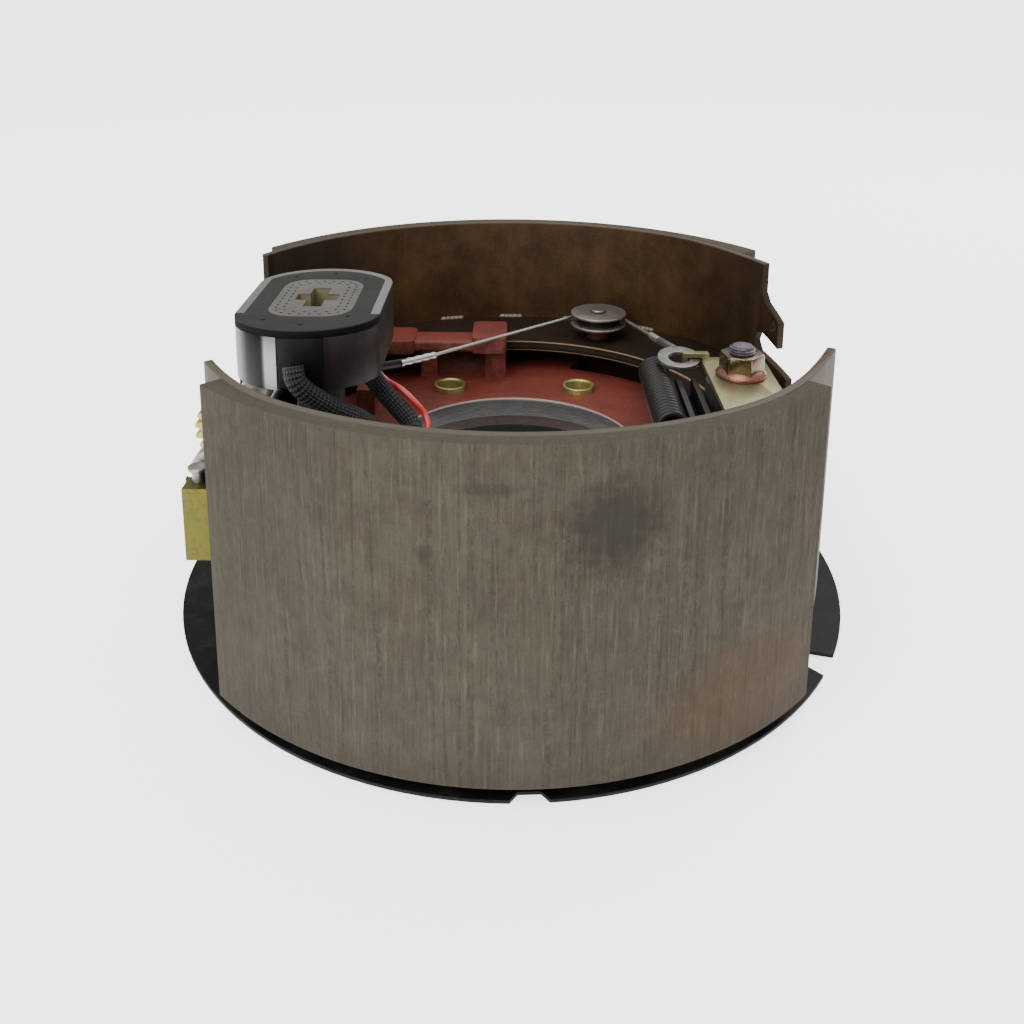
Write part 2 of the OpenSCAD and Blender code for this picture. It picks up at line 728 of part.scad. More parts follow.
// Adjuster: socket, screw with its star wheel, and the long nut with a fork
module along_y(y) {
    translate([-adj_x, y, web_mid]) rotate([-90, 0, 0]) children();
}
module adjuster_socket() {
    color(c_steel)
    difference() {
        along_y(adj_near - fork_l) cylinder(r = 8.5, h = fork_l + 12);
        along_y(adj_near + 2) cylinder(r = pilot_pin_r + run_gap, h = 20);
        translate([-adj_x - 12, adj_near - fork_l - 1, web_mid - slot_w / 2]) cube([24, fork_l + 1, slot_w]);
    }
}
module star_screw() {
    tooth = 360 / star_teeth;
    color(c_zinc) {
        along_y(adj_near + 3) cylinder(r = pilot_pin_r, h = 12);
        along_y(adj_near + 12 + gap) cylinder(r = 8, h = star_y - adj_near - 12 - gap + eps);
        along_y(star_y) linear_extrude(height = star_w)
            polygon([for (i = [0 : star_teeth - 1], p = [[star_r - 3, 0], [star_r, 0.25], [star_r, 0.6], [star_r - 3, 0.85]])
                p[0] * [cos(tooth * (i + p[1])), sin(tooth * (i + p[1]))]]);
        along_y(star_y + 1) cylinder(r = screw_r, h = adj_far - 14 - star_y);
    }
}
module adjuster_nut() {
    start = star_y + star_w + gap;
    color(c_steel)
    difference() {
        along_y(start) cylinder(r = nut_tube_r, h = adj_far + fork_l - start);
        along_y(start - 1) cylinder(r = screw_r + run_gap, h = adj_far - 10 - start);
        translate([-adj_x - 12, adj_far, web_mid - slot_w / 2]) cube([24, fork_l + 1, slot_w]);
    }
}

// Self-adjusting lever on its bracket, with the pin and the return spring
rivet_pos = [for (s = [-4, 6]) [s - adj_x, adj_near - 12.7]];
bracket_z = lever_pz - 10;
bracket_y = adj_near - 20;
module lever_bracket() {
    color(c_zinc)
    difference() {
        union() {
            translate([-adj_x - 9, bracket_y, web_z - 3.2]) cube([20, 11, 3]);
            translate([-adj_x - 9, bracket_y, bracket_z]) cube([14, 3, web_z - 0.2 - bracket_z]);
            translate([-adj_x - 9, bracket_y, bracket_z]) cube([12, ear_y + 3 - bracket_y, 3]);
            translate([-adj_x - 15, ear_y - 5, bracket_z]) cube([16, 8, 3]);
            translate([lever_px - 6, ear_y, bracket_z]) cube([12, 3, 16]);
        }
        translate([lever_px, ear_y - 2, lever_pz]) rotate([-90, 0, 0]) cylinder(r = lever_pin_r + fit, h = 8);
        for (p = rivet_pos) translate([p[0], p[1], web_z - 5]) cylinder(r = 2.5 + fit, h = 8);
    }
}
module bracket_rivets() {
    color(c_steel)
    for (p = rivet_pos)
        translate([p[0], p[1], 0]) {
            translate([0, 0, web_z - 5]) cylinder(r = 4, h = 1.8);
            translate([0, 0, web_z - 4]) cylinder(r = 2.5, h = web_t + 4.5);
            translate([0, 0, web_top]) cylinder(r = 4, h = 1.6);
        }
}
module adjuster_lever() {
    color(c_zinc)
    difference() {
        union() {
            translate([lever_px, lever_y + lever_t, lever_pz])
                rotate([90, 0, 0])
                    linear_extrude(height = lever_t)
                        polygon([[-16, 6], [-16, -22], [-9, -30], [-5, -30], [-5, -10], [7, -9], [19, 4], [26, 16],
                            [26, 43], [18, 43], [18, 18], [11, 8], [5, 6], [-8, 0]]);
            translate([lever_px + 4, lever_y + 1, web_mid - star_r - 0.35 - 3])
                cube([5.5, star_y + star_w - lever_y - 2, 3]);
            translate([lever_px - 10, lever_y - 5, lever_pz - 28]) cube([5, 7, 5]);
        }
        translate([lever_px, lever_y - 20, lever_pz]) rotate([-90, 0, 0])
            cylinder(r = lever_pin_r + run_gap, h = 30);
        translate([hook_x, lever_y - 2, hook_z]) rotate([-90, 0, 0]) cylinder(r = 2, h = 8);
        translate([lever_px - 18, lever_y - 2, lever_pz - 16]) rotate([-90, 0, 0]) cylinder(r = 3.5, h = 8);
    }
}
module lever_pin() {
    shank = lever_y + lever_t + gap - ear_y + 0.5;
    color(c_steel)
    translate([lever_px, ear_y, lever_pz])
        rotate([-90, 0, 0]) {
            translate([0, 0, -2]) cylinder(r = 5, h = 2);
            translate([0, 0, -1]) cylinder(r = lever_pin_r, h = shank + 1);
            translate([0, 0, shank - 0.5]) cylinder(r = 4.5, h = 1.5);
        }
}
module lever_spring() {
    color(c_dark)
    translate([lever_px - 7.5, ear_y - 1.5, bracket_z - 12.8]) coil(2.4, 0.9, 14);
}

// Cast actuating arm: hub, curved beam, pedestal and peg
arm_path = [
    [arm_px, arm_py],
    (web_r - 23) * [cos(-37.6), sin(-37.6)],
    (web_r - 24.5) * [cos(-58), sin(-58)],
    (web_r - 25.3) * [cos(-82.3), sin(-82.3)],
    (web_r - 23.2) * [cos(-108.2), sin(-108.2)],
    (web_r - 20.8) * [cos(-133), sin(-133)],
    (web_r - 18.6) * [cos(-155.3), sin(-155.3)],
    [-magnet_x, 0]
];
arm_half = [11, 8, 8, 8.5, 8.5, 8.5, 9, 12];
link_pin = [arm_px + 10.5, arm_py];
module actuating_arm() {
    color(c_dark)
    difference() {
        union() {
            translate([0, 0, arm_z])
                linear_extrude(height = arm_t) {
                    for (i = [0 : len(arm_path) - 2]) hull() {
                        translate(arm_path[i]) circle(r = arm_half[i], $fn = 32);
                        translate(arm_path[i + 1]) circle(r = arm_half[i + 1], $fn = 32);
                    }
                    translate([arm_px, arm_py - 5]) square([11, 10]);
                    translate(link_pin) circle(r = 5);
                }
            translate([link_pin[0], link_pin[1], arm_z]) cylinder(r = 2, h = arm_t + 5);
            translate([-magnet_x, 0, arm_z]) cylinder(r = pedestal_r, h = pedestal_top - arm_z);
            translate([-magnet_x, 0, arm_z]) cylinder(r = peg_r, h = peg_top - arm_z);
        }
        translate([arm_px, arm_py, arm_z - 1]) cylinder(r = arm_pin_r + run_gap, h = arm_t + 2);
    }
}
// Folded push link that the arm drives against the shoes' webs
link_z = arm_z + arm_t + 2.2;
link_ends = [-31.5, 18];
module push_link() {
    x0 = link_pin[0] - 5;
    l = link_ends[1] - link_ends[0];
    color(c_black)
    difference() {
        translate([x0, link_ends[0], link_z]) cube([10, l, 11]);
        translate([x0 + 2.5, link_ends[0] - 1, link_z + 2]) cube([5, l + 2, 12]);
        translate([link_pin[0], link_pin[1], link_z - 1]) cylinder(r = 2 + run_gap, h = 5);
    }
}

// Magnet on its peg
module magnet_outline(inset) {
    intersection() {
        square([magnet_w - 2 * inset, magnet_l], center = true);
        hull() for (s = [1, -1])
            translate([0, s * (magnet_l / 2 - magnet_end_r)]) circle(r = magnet_end_r - inset, $fn = 48);
    }
}
module at_magnet(z) {
    translate([-magnet_x, 0, z]) children();
}
face_split = -24;
mould_x = -9;
mould_w = 19.5;
module magnet_case() {
    color(c_steel)
    difference() {
        at_magnet(magnet_z) linear_extrude(height = magnet_h) difference() {
            magnet_outline(0);
            magnet_outline(case_t);
        }
        at_magnet(magnet_top - face_t) translate([-50, -60, 0]) cube([100, 60 + face_split, 10]);
        at_magnet(magnet_z - 1) translate([mould_x, -60, 0]) cube([mould_w, 40, magnet_h + 5]);
    }
}
module magnet_face() {
    color(c_dark)
    difference() {
        at_magnet(magnet_top - face_t) linear_extrude(height = face_t) difference() {
            union() {
                magnet_outline(case_t + 0.1);
                intersection() {
                    magnet_outline(0);
                    translate([-50, -60]) square([100, 60 + face_split - 0.1]);
                }
            }
            core_outline(0.1);
        }
        for (p = [[-17, -33], [0, -39], [18, -27], [-16, 32], [2, 38], [18, 30]])
            at_magnet(magnet_top - 1.2) translate(p) cylinder(r = 1, h = 3, $fn = 24);
    }
}
module core_outline(grow) {
    r = 12;
    hull() for (sx = [1, -1], sy = [1, -1])
        translate([sx * (core_w / 2 - r), sy * (core_l / 2 - r)]) circle(r = r + grow, $fn = 32);
}
module magnet_core() {
    color(c_light)
    difference() {
        at_magnet(magnet_z) linear_extrude(height = magnet_h) core_outline(0);
        at_magnet(magnet_z - 1) cylinder(r = peg_r + run_gap, h = 17.5);
        at_magnet(magnet_z + 15.5) translate([-9.5, -4.5, 0]) cube([19, 9, 20]);
        at_magnet(magnet_z + 15.5) translate([-4, -14, 0]) cube([8, 28, 20]);
    }
}
coil_z0 = 8;
coil_z1 = 21;
coil_w = 8;
module magnet_moulding() {
    color(c_black)
    difference() {
        union() {
            at_magnet(magnet_z + 1) linear_extrude(height = magnet_h - face_t - 1 - 0.1) difference() {
                magnet_outline(case_t + 0.1);
                core_outline(0.1);
            }
            at_magnet(magnet_z + 1) linear_extrude(height = magnet_h - face_t - 1 - 0.1)
                intersection() {
                    difference() {
                        magnet_outline(0);
                        core_outline(0.1);
                    }
                    translate([mould_x + 0.1, -60]) square([mould_w - 0.2, 40]);
                }
        }
        at_magnet(magnet_z + coil_z0) linear_extrude(height = coil_z1 - coil_z0) difference() {
            core_outline(coil_w + 0.2);
            core_outline(0.05);
        }
    }
}
module magnet_coil() {
    color(c_copper)
    at_magnet(magnet_z + coil_z0 + 0.1) linear_extrude(height = coil_z1 - coil_z0 - 0.2) difference() {
        core_outline(coil_w);
        core_outline(0.2);
    }
}
// Spring clip that holds the magnet on its peg
module magnet_clip() {
    color(c_zinc)
    at_magnet(peg_top + 0.1)
        difference() {
            cylinder(r = 3.9, h = 1.2);
            translate([0, 0, -1]) cylinder(r = 1.5, h = 4);
        }
}
module magnet_spring() {
    color(c_dark)
    at_magnet(pedestal_top + 0.1) {
        difference() {
            cylinder(r1 = 10.5, r2 = 9.6, h = magnet_z - pedestal_top - 0.3);
            translate([0, 0, -1]) cylinder(r1 = 9.5, r2 = 8.2, h = magnet_z - pedestal_top + 2);
        }
    }
}

// Leads: two braided sleeves and a bare red wire from the magnet to the clip, then one cable
clip_pos = [-62.5, -13];
lead_r = 4.2;
lead_front_pts = [[-88, -51, 120], [-86.5, -52.4, 114], [-80.8, -50.5, 107.5], [-72, -45, 99.5], [-66, -37, 92.5],
    [-63, -30, 86], [-62.5, -27, 81.5]];
lead_rear_pts = [[-66, -8, 106.6], [-66, -8, 102], [-62, -6.5, 94.5], [-55, -9, 86.5], [-48.5, -14, 80],
    [-50, -20, 76.5], [-55, -23, 73]];
lead_wire_pts = [[-60, -1, 106.6], [-60, -2, 102], [-55.5, -5.5, 97], [-46.4, -8, 89.4], [-40.5, -9.5, 81],
    [-39, -14, 76], [-43, -19, 72]];
cable_low = ring_top + 2.4;
lead_cable_pts = [[-57, -27, cable_low], [-54, -34, cable_low], [-50, -46, cable_low], [-48, -60, cable_low],
    [-46, -76, cable_low], [-45.6, -86, cable_low - 0.3], [grommet_pos[0], grommet_pos[1], 57],
    [grommet_pos[0], grommet_pos[1], 52], [grommet_pos[0], grommet_pos[1], 42]];
module lead_front() {
    color(c_black) tube(spline(lead_front_pts, 2), lead_r, [0.8, -0.6, 0]);
}
module lead_rear() {
    color(c_black) tube(spline(lead_rear_pts, 2), lead_r, [0.8, -0.6, 0]);
}
module lead_wire() {
    color(c_red) tube(spline(lead_wire_pts, 2), 1.5, [0.8, -0.6, 0]);
}
module lead_cable() {
    color(c_black) tube(spline(lead_cable_pts, 2), 2, [1, 0, 0.1]);
}
module lead_clip() {
    color(c_black)
    difference() {
        union() {
            translate([clip_pos[0] - 3, clip_pos[1] - 4, ring_top + 0.1]) cube([8, 8, 2]);
            translate([clip_pos[0] - 4.5, clip_pos[1] - 4, ring_top + 0.1]) cube([2, 8, 14]);
        }
        translate([clip_pos[0] + 1, clip_pos[1], ring_top - 5]) cylinder(r = 2 + fit, h = 12);
    }
}
module lead_clip_screw() {
    color(c_steel)
    translate([clip_pos[0] + 1, clip_pos[1], ring_top + 2.1]) {
        cylinder(r = 3.2, h = 2);
        translate([0, 0, -8]) cylinder(r = 2, h = 9);
    }
}
module lead_grommet() {
    color(c_black)
    translate([grommet_pos[0], grommet_pos[1], flange_z])
        difference() {
            union() {
                translate([0, 0, -2.6]) cylinder(r = grommet_neck_r + 1.6, h = 2.5);
                translate([0, 0, -1]) cylinder(r = grommet_neck_r, h = sheet_t + 2);
                translate([0, 0, sheet_t + 0.1]) cylinder(r = grommet_neck_r + 1.6, h = 2.5);
            }
            translate([0, 0, -5]) cylinder(r = 2.4, h = 15);
        }
}

dust_shield();
spider();
mounting_sleeves();
shield_screws();
anchor_post();
anchor_plate();
anchor_nut();
arm_pin();
arm_retainer();
lead_grommet();
lead_cable();
lead_clip();
lead_clip_screw();
near_lining();
near_table();
near_web();
far_lining();
far_table();
far_web();
pulley();
pulley_rivet();
pulley_spacer();
adjuster_cable();
cable_eye();
cable_crimp();
cable_hook();
retractor_spring();
adjuster_spring();
adjuster_socket();
star_screw();
adjuster_nut();
lever_bracket();
bracket_rivets();
adjuster_lever();
lever_pin();
lever_spring();
actuating_arm();
push_link();
magnet_case();
magnet_face();
magnet_core();
magnet_moulding();
magnet_coil();
magnet_clip();
magnet_spring();
lead_front();
lead_rear();
lead_wire();
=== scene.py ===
import math

import bmesh
import bpy
from mathutils import Matrix, Vector


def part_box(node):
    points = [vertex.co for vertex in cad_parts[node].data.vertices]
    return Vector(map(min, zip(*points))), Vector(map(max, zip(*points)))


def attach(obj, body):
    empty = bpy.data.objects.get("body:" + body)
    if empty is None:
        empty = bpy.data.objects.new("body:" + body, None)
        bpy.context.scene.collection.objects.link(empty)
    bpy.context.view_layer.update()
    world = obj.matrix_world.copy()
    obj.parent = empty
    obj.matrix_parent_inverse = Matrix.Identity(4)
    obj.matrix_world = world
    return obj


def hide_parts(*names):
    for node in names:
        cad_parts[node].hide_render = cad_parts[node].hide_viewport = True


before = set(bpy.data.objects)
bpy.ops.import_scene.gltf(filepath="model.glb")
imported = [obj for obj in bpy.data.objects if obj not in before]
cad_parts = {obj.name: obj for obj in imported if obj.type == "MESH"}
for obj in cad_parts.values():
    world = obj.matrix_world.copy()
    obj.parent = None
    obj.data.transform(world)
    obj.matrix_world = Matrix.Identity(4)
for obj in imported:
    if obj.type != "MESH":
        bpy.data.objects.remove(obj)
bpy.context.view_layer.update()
mm = 0.001

# The camera stands in front of the near shoe and looks down a little into the brake.
# Its shift keeps the uprights nearly parallel, as in the photograph.
eye = Vector((1.8, -458.9, 278.0)) * mm
pitch = math.radians(13.44)
roll = math.radians(0.49)
picture = 1024
focal_px = 1055.7
centre_px = (7.1, -287.0)

camera = bpy.data.cameras.new("camera")
camera.sensor_fit = "VERTICAL"
camera.sensor_height = 36
camera.sensor_width = 22
camera.lens = focal_px * 36 / picture
camera.shift_x = -centre_px[0] / picture
camera.shift_y = centre_px[1] / picture
camera_object = bpy.data.objects.new("camera", camera)
bpy.context.scene.collection.objects.link(camera_object)
ahead = Vector((0, math.cos(pitch), -math.sin(pitch)))
above = Vector((0, math.sin(pitch), math.cos(pitch)))
side = Vector((1, 0, 0))
right = math.cos(roll) * side + math.sin(roll) * above
up = -math.sin(roll) * side + math.cos(roll) * above
camera_object.matrix_world = Matrix.Translation(eye) @ Matrix((right, up, -ahead)).transposed().to_4x4()
bpy.context.scene.camera = camera_object


# Shader sums are written as plain expressions on this class, which wraps one socket.
class Value:
    def __init__(self, finish, socket):
        self.finish = finish
        self.socket = socket

    def sum(self, operation, a, b):
        return self.finish.add("ShaderNodeMath", {"operation": operation}, {0: a, 1: b})

    def __add__(self, other):
        return self.sum("ADD", self, other)

    def __radd__(self, other):
        return self.sum("ADD", other, self)

    def __sub__(self, other):
        return self.sum("SUBTRACT", self, other)

    def __rsub__(self, other):
        return self.sum("SUBTRACT", other, self)

    def __mul__(self, other):
        return self.sum("MULTIPLY", self, other)

    def __rmul__(self, other):
        return self.sum("MULTIPLY", other, self)


# A finish is one material: a Principled surface and what feeds it.
class Finish:
    def __init__(self, name, metallic=0.0, coat=0.0, coat_roughness=0.2, specular=0.5):
        self.material = bpy.data.materials.new(name)
        self.material.use_nodes = True
        self.tree = self.material.node_tree
        self.tree.nodes.clear()
        self.surface = self.tree.nodes.new("ShaderNodeBsdfPrincipled")
        out = self.tree.nodes.new("ShaderNodeOutputMaterial")
        self.tree.links.new(self.surface.outputs[0], out.inputs[0])
        self.surface.inputs["Metallic"].default_value = metallic
        self.surface.inputs["Coat Weight"].default_value = coat
        self.surface.inputs["Coat Roughness"].default_value = coat_roughness
        self.surface.inputs["Specular IOR Level"].default_value = specular
        self.place = self.add("ShaderNodeTexCoord", output="Object")

    def feed(self, socket, value):
        if isinstance(value, Value):
            self.tree.links.new(value.socket, socket)
        elif isinstance(value, (tuple, list)) and len(value) == 3 and socket.type == "RGBA":
            socket.default_value = (*value, 1)
        else:
            socket.default_value = value

    def add(self, kind, settings=None, inputs=None, output=0):
        node = self.tree.nodes.new(kind)
        for key, value in (settings or {}).items():
            setattr(node, key, value)
        for key, value in (inputs or {}).items():
            self.feed(node.inputs[key], value)
        return Value(self, node.outputs[output])

    def noise(self, scale, detail=4.0, rough=0.55, along=None):
        where = self.place
        if along:
            where = self.add("ShaderNodeMapping", None, {"Vector": self.place, "Scale": along})
        return self.add("ShaderNodeTexNoise", None,
                        {"Vector": where, "Scale": scale, "Detail": detail, "Roughness": rough})

    def specks(self, scale):
        return self.add("ShaderNodeTexVoronoi", None, {"Vector": self.place, "Scale": scale})

    def between(self, value, low, high):
        return self.add("ShaderNodeMapRange", {"interpolation_type": "SMOOTHSTEP"},
                        {"Value": value, "From Min": low, "From Max": high})

    def mix(self, mask, a, b):
        return self.add("ShaderNodeMix", {"data_type": "RGBA"}, {0: mask, 6: a, 7: b}, 2)

    # Distance from a centre, in units of the spot's own half sizes, both given in mm
    def spot(self, centre, size):
        centre = tuple(c * mm for c in centre)
        size = tuple(s * mm for s in size)
        off = self.add("ShaderNodeVectorMath", {"operation": "SUBTRACT"}, {0: self.place, 1: centre})
        scaled = self.add("ShaderNodeVectorMath", {"operation": "DIVIDE"}, {0: off, 1: size})
        return self.add("ShaderNodeVectorMath", {"operation": "LENGTH"}, {0: scaled}, "Value")

    # Distance from the spindle axis and the place along one axis, in mm
    def radius(self):
        return self.spot((0, 0, 0), (1, 1, 1e6))

    def axis(self, name):
        return self.add("ShaderNodeSeparateXYZ", None, {0: self.place}, name) * 1000

    def colour(self, value):
        self.feed(self.surface.inputs["Base Color"], value)

    def rough(self, value):
        self.feed(self.surface.inputs["Roughness"], value)

    def metal(self, value):
        self.feed(self.surface.inputs["Metallic"], value)

    def relief(self, height, depth):
        bump = self.add("ShaderNodeBump", None, {"Height": height, "Distance": depth * mm, "Strength": 1.0},
                        "Normal")
        self.feed(self.surface.inputs["Normal"], bump)


# A finished bmesh becomes a piece that rides on its body and may stand for a solid.
def made(work, name, finish, body, stands_for=None, sharp=38):
    mesh = bpy.data.meshes.new(name)
    work.to_mesh(mesh)
    work.free()
    for face in mesh.polygons:
        face.use_smooth = True
    if sharp:
        mesh.set_sharp_from_angle(angle=math.radians(sharp))
    piece = bpy.data.objects.new(name, mesh)
    bpy.context.scene.collection.objects.link(piece)
    mesh.materials.append(finish.material)
    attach(piece, body)
    if stands_for:
        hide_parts(stands_for)
    return piece


# A solid whose sharp edges are broken, as a cast, pressed or machined piece's are.
# Its copy takes the solid's place.
def eased(node, finish, edge, body, steps=2, shape=None):
    work = bmesh.new()
    work.from_mesh(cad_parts[node].data)
    bmesh.ops.remove_doubles(work, verts=work.verts, dist=2e-6)
    bmesh.ops.dissolve_limit(work, angle_limit=math.radians(0.6), verts=work.verts, edges=work.edges)
    if shape:
        shape(work)
    piece = made(work, node + "_eased", finish, body, node, sharp=0)
    bevel = piece.modifiers.new("edges", "BEVEL")
    bevel.width = edge * mm
    bevel.segments = steps
    bevel.limit_method = "ANGLE"
    bevel.angle_limit = math.radians(32)
    bevel.harden_normals = True
    bevel.use_clamp_overlap = True
    return piece


# Brake linings: moulded friction blocks, ground round, grey-brown with fine chips and
# upright grinding lines. The near one has a dark stain and rust-coloured dust low down.
lining = Finish("lining", specular=0.15)
chips = lining.specks(1100.0)
grain = lining.noise(1300.0, 4.0, 0.7)
mottle = lining.noise(260.0, 4.0, 0.7)
wander = lining.noise(150.0, 2.0, 0.5, (1.0, 1.0, 0.018)) - 0.5
hair = lining.noise(420.0, 2.0, 0.5, (1.0, 1.0, 0.02)) - 0.5
breaks = lining.noise(330.0, 3.0, 0.7)
lines = lining.between(wander * wander, 0.0005, 0.00003) * lining.between(breaks, 0.40, 0.60)
lines = lines + lining.between(hair * hair, 0.0016, 0.0001) * lining.between(breaks, 0.60, 0.42) * 0.35
cloud = lining.noise(16.0, 3.0)
tone = lining.noise(75.0, 4.0, 0.6)
ground = lining.mix(lining.between(tone, 0.35, 0.65), (0.0462, 0.0383, 0.0271), (0.0541, 0.0469, 0.033))
ground = lining.mix(lining.between(cloud, 0.45, 0.7) * 0.35, ground, (0.0383, 0.031, 0.0205))
ground = lining.mix(lining.between(mottle, 0.52, 0.72) * 0.4, ground, (0.0686, 0.0607, 0.0475))
ground = lining.mix(lining.between(mottle, 0.48, 0.30) * 0.4, ground, (0.031, 0.0264, 0.0191))
ground = lining.mix(lining.between(chips, 0.14, 0.05) * 0.4, ground, (0.106, 0.097, 0.0792))
ground = lining.mix(lining.between(grain, 0.54, 0.70) * 0.5, ground, (0.0264, 0.0224, 0.0172))
ground = lining.mix(lines * 0.38, ground, (0.0172, 0.0139, 0.0099))
streak = lining.noise(800.0, 3.0, 0.65, (1.0, 1.0, 0.07))
ground = lining.mix(lining.between(streak, 0.52, 0.70) * 0.4, ground, (0.024, 0.020, 0.0145))
ground = lining.mix(lining.between(streak, 0.46, 0.30) * 0.4, ground, (0.090, 0.078, 0.058))
# Painted shade: the lining is darkened towards its left part.
shaded_left_part = lining.between(lining.axis("X"), -40, -130)
ground = lining.mix(shaded_left_part * 0.3, ground, (0.0297, 0.0251, 0.0178))
ragged = (mottle - 0.5) * 0.9
# The stain, a scuff and a nick: centre and half sizes in mm, soft edge, strength and colour
for centre, size, edge, strength, dark in (
        ((34, -151, 105), (19, 30, 20), (1.15, 0.35), 0.7, (0.0172, 0.0158, 0.0139)),
        ((-7, -155, 119.5), (15, 30, 2.6), (1.1, 0.4), 0.4, (0.0198, 0.0178, 0.0145)),
        ((-28, -152, 95), (3, 30, 5), (1.1, 0.3), 0.45, (0.0185, 0.0165, 0.0132))):
    mark = lining.spot(centre, size) + ragged
    ground = lining.mix(lining.between(mark, *edge) * strength, ground, dark)
rust = lining.spot((85, -130, 25), (45, 60, 30)) + (cloud - 0.5) * 1.6 + ragged
ground = lining.mix(lining.between(rust, 1.1, 0.5) * 0.35, ground, (0.0647, 0.033, 0.0158))
# The lining is darker towards the bottom.
darker_towards_bottom = lining.between(lining.axis("Z"), 26, 8)
ground = lining.mix(darker_towards_bottom * 0.35, ground, (0.0297, 0.0238, 0.0165))
shoe_top = 135.0
# Painted highlight: the top edge of the lining is lighter.
top_highlight_band = lining.between(lining.axis("Z"), shoe_top - 0.8, shoe_top - 0.1)
ground = lining.mix(top_highlight_band * 0.5, ground, (0.0581, 0.0502, 0.0376))
lining.colour(ground)
lining.rough(0.86 + grain * 0.1)
lining.relief(grain * 0.8 + mottle * 0.6 - lines * 0.5 - lining.between(chips, 0.2, 0.0) * 0.3, 0.3)
# Radii in mm: where the table starts, where the lining is bonded to it, and the worn face.
# Both shoes close in a little towards their ends, apart from the far one's left: by up to
# close_depth, over close_over degrees that start close_from degrees off the middle.
table_inside, bond, worn_face = 145.0, 148.5, 155.0
new_lining = 10.5
close_from, close_over, close_depth = 34, 28, 5.5


def at_radius(vert, radius):
    vert.co.xy = vert.co.xy.normalized() * (radius * mm)


def closing_in(vert):
    from_middle = abs(math.degrees(math.atan2(vert.co.x, abs(vert.co.y))))
    if vert.co.y > 0 and vert.co.x < 0:
        return 0.0
    t = min(max((from_middle - close_from) / close_over, 0), 1)
    return close_depth * t * t * (3 - 2 * t)


def worn_thin(work):
    for vert in work.verts:
        depth = worn_face - vert.co.xy.length / mm
        at_radius(vert, worn_face - depth * (worn_face - bond + closing_in(vert)) / new_lining)


for node, body in (("near_lining", "near_shoe"), ("far_lining", "far_shoe")):
    eased(node, lining, 0.5, body, shape=worn_thin)

# Shoe tables and webs: rolled and welded steel under thin brown paint that ran a little
# before it dried, with painted highlights along the edges and painted shade towards the ends and on the webs.
shoe = Finish("shoe_paint", specular=0.14)
shade = shoe.noise(42.0, 5.0, 0.65)
drips = shoe.noise(170.0, 4.0, 0.6, (1.0, 1.0, 0.12))
pimples = shoe.noise(2100.0, 3.0, 0.6)
clots = shoe.noise(420.0, 4.0, 0.7)
paint = shoe.mix(shoe.between(shade, 0.3, 0.7), (0.019, 0.0090, 0.0028), (0.046, 0.0225, 0.0068))
paint = shoe.mix(shoe.between(drips, 0.5, 0.78) * 0.25, paint, (0.064, 0.033, 0.010))
paint = shoe.mix(shoe.between(clots, 0.56, 0.74) * 0.4, paint, (0.012, 0.007, 0.004))
paint = shoe.mix(shoe.between(pimples, 0.56, 0.70) * 0.4, paint, (0.090, 0.054, 0.022))
across = shoe.axis("X")
# Painted shade towards both ends of the shoes, darker at the left.
ends = shoe.between(across, -62, -108) * 0.8 + shoe.between(across, 74, 122) * 0.55
paint = shoe.mix(ends, paint, (0.005, 0.0028, 0.0014))
height = shoe.axis("Z")
# Painted highlight along the top edge of the tables.
top_edge_highlight = shoe.between(height, shoe_top - 0.8, shoe_top - 0.2)
paint = shoe.mix(top_edge_highlight * (0.25 + shade * 0.6), paint, (0.080, 0.060, 0.038))
outer_face = (shoe.between(shoe.axis("Y"), -20, -40) * shoe.between(shoe.radius(), 142.2, 142.8)
              * shoe.between(shoe.radius(), 149, 148.7))
facing_out = shoe.add("ShaderNodeVectorMath", {"operation": "DOT_PRODUCT"},
                      {0: shoe.add("ShaderNodeNewGeometry", output="Normal"), 1: shoe.place}, "Value")
dusty = shoe.mix(shade, (0.052, 0.043, 0.031), (0.085, 0.074, 0.056))
paint = shoe.mix(outer_face * shoe.between(facing_out, 0.10, 0.13), paint, dusty)
foot = shoe.between(height, 9.0, 8.2)
paint = shoe.mix(foot * 0.6, paint, (0.10, 0.082, 0.056))
# Painted shade: the webs, low inside the shoes, are darkened almost to black.
shaded_web = (shoe.between(shoe.radius(), 144.5, 143.5) * shoe.between(height, 60, 61)
            * shoe.between(height, 79, 78))
paint = shoe.mix(shaded_web * 0.85, paint, shoe.mix(shade, (0.005, 0.003, 0.002), (0.014, 0.008, 0.005)))
# Painted highlights: thin light lines along the top and bottom of the webs' inner edges.
web_edges = (shoe.between(height, 76.8, 77.1)
             + shoe.between(height, 73.2, 72.9) * shoe.between(height, 71.9, 72.2))
web_edge_highlight = (shoe.between(shoe.radius(), 101.3, 100.6) * shoe.between(shoe.radius(), 98.9, 99.4)
           * web_edges * shoe.between(height, 79, 78))
paint = shoe.mix(web_edge_highlight * 0.85, paint, (0.24, 0.165, 0.085))
shoe.colour(paint)
shoe.rough(0.46 + shade * 0.2 + pimples * 0.1)
shoe.relief(shade * 0.6 + pimples * 0.4 + clots * 0.4 + drips * 0.2, 0.3)


# In mm: the table's outside and thickness as rolled, and where the webs' outer rim starts.
rolled_outside, rolled_plate, web_rim_from = 144.5, 5.0, 138


def rolled_thin(work):
    for vert in work.verts:
        depth = rolled_outside - vert.co.xy.length / mm
        at_radius(vert, bond - closing_in(vert) - depth * (bond - table_inside) / rolled_plate)


def reaching_table(work):
    for vert in work.verts:
        if vert.co.xy.length > web_rim_from * mm:
            at_radius(vert, table_inside - closing_in(vert))


for node, body, shape in (("near_table", "near_shoe", rolled_thin), ("far_table", "far_shoe", rolled_thin),
                          ("near_web", "near_shoe", reaching_table), ("far_web", "far_shoe", reaching_table)):
    eased(node, shoe, 0.45, body, shape=shape)


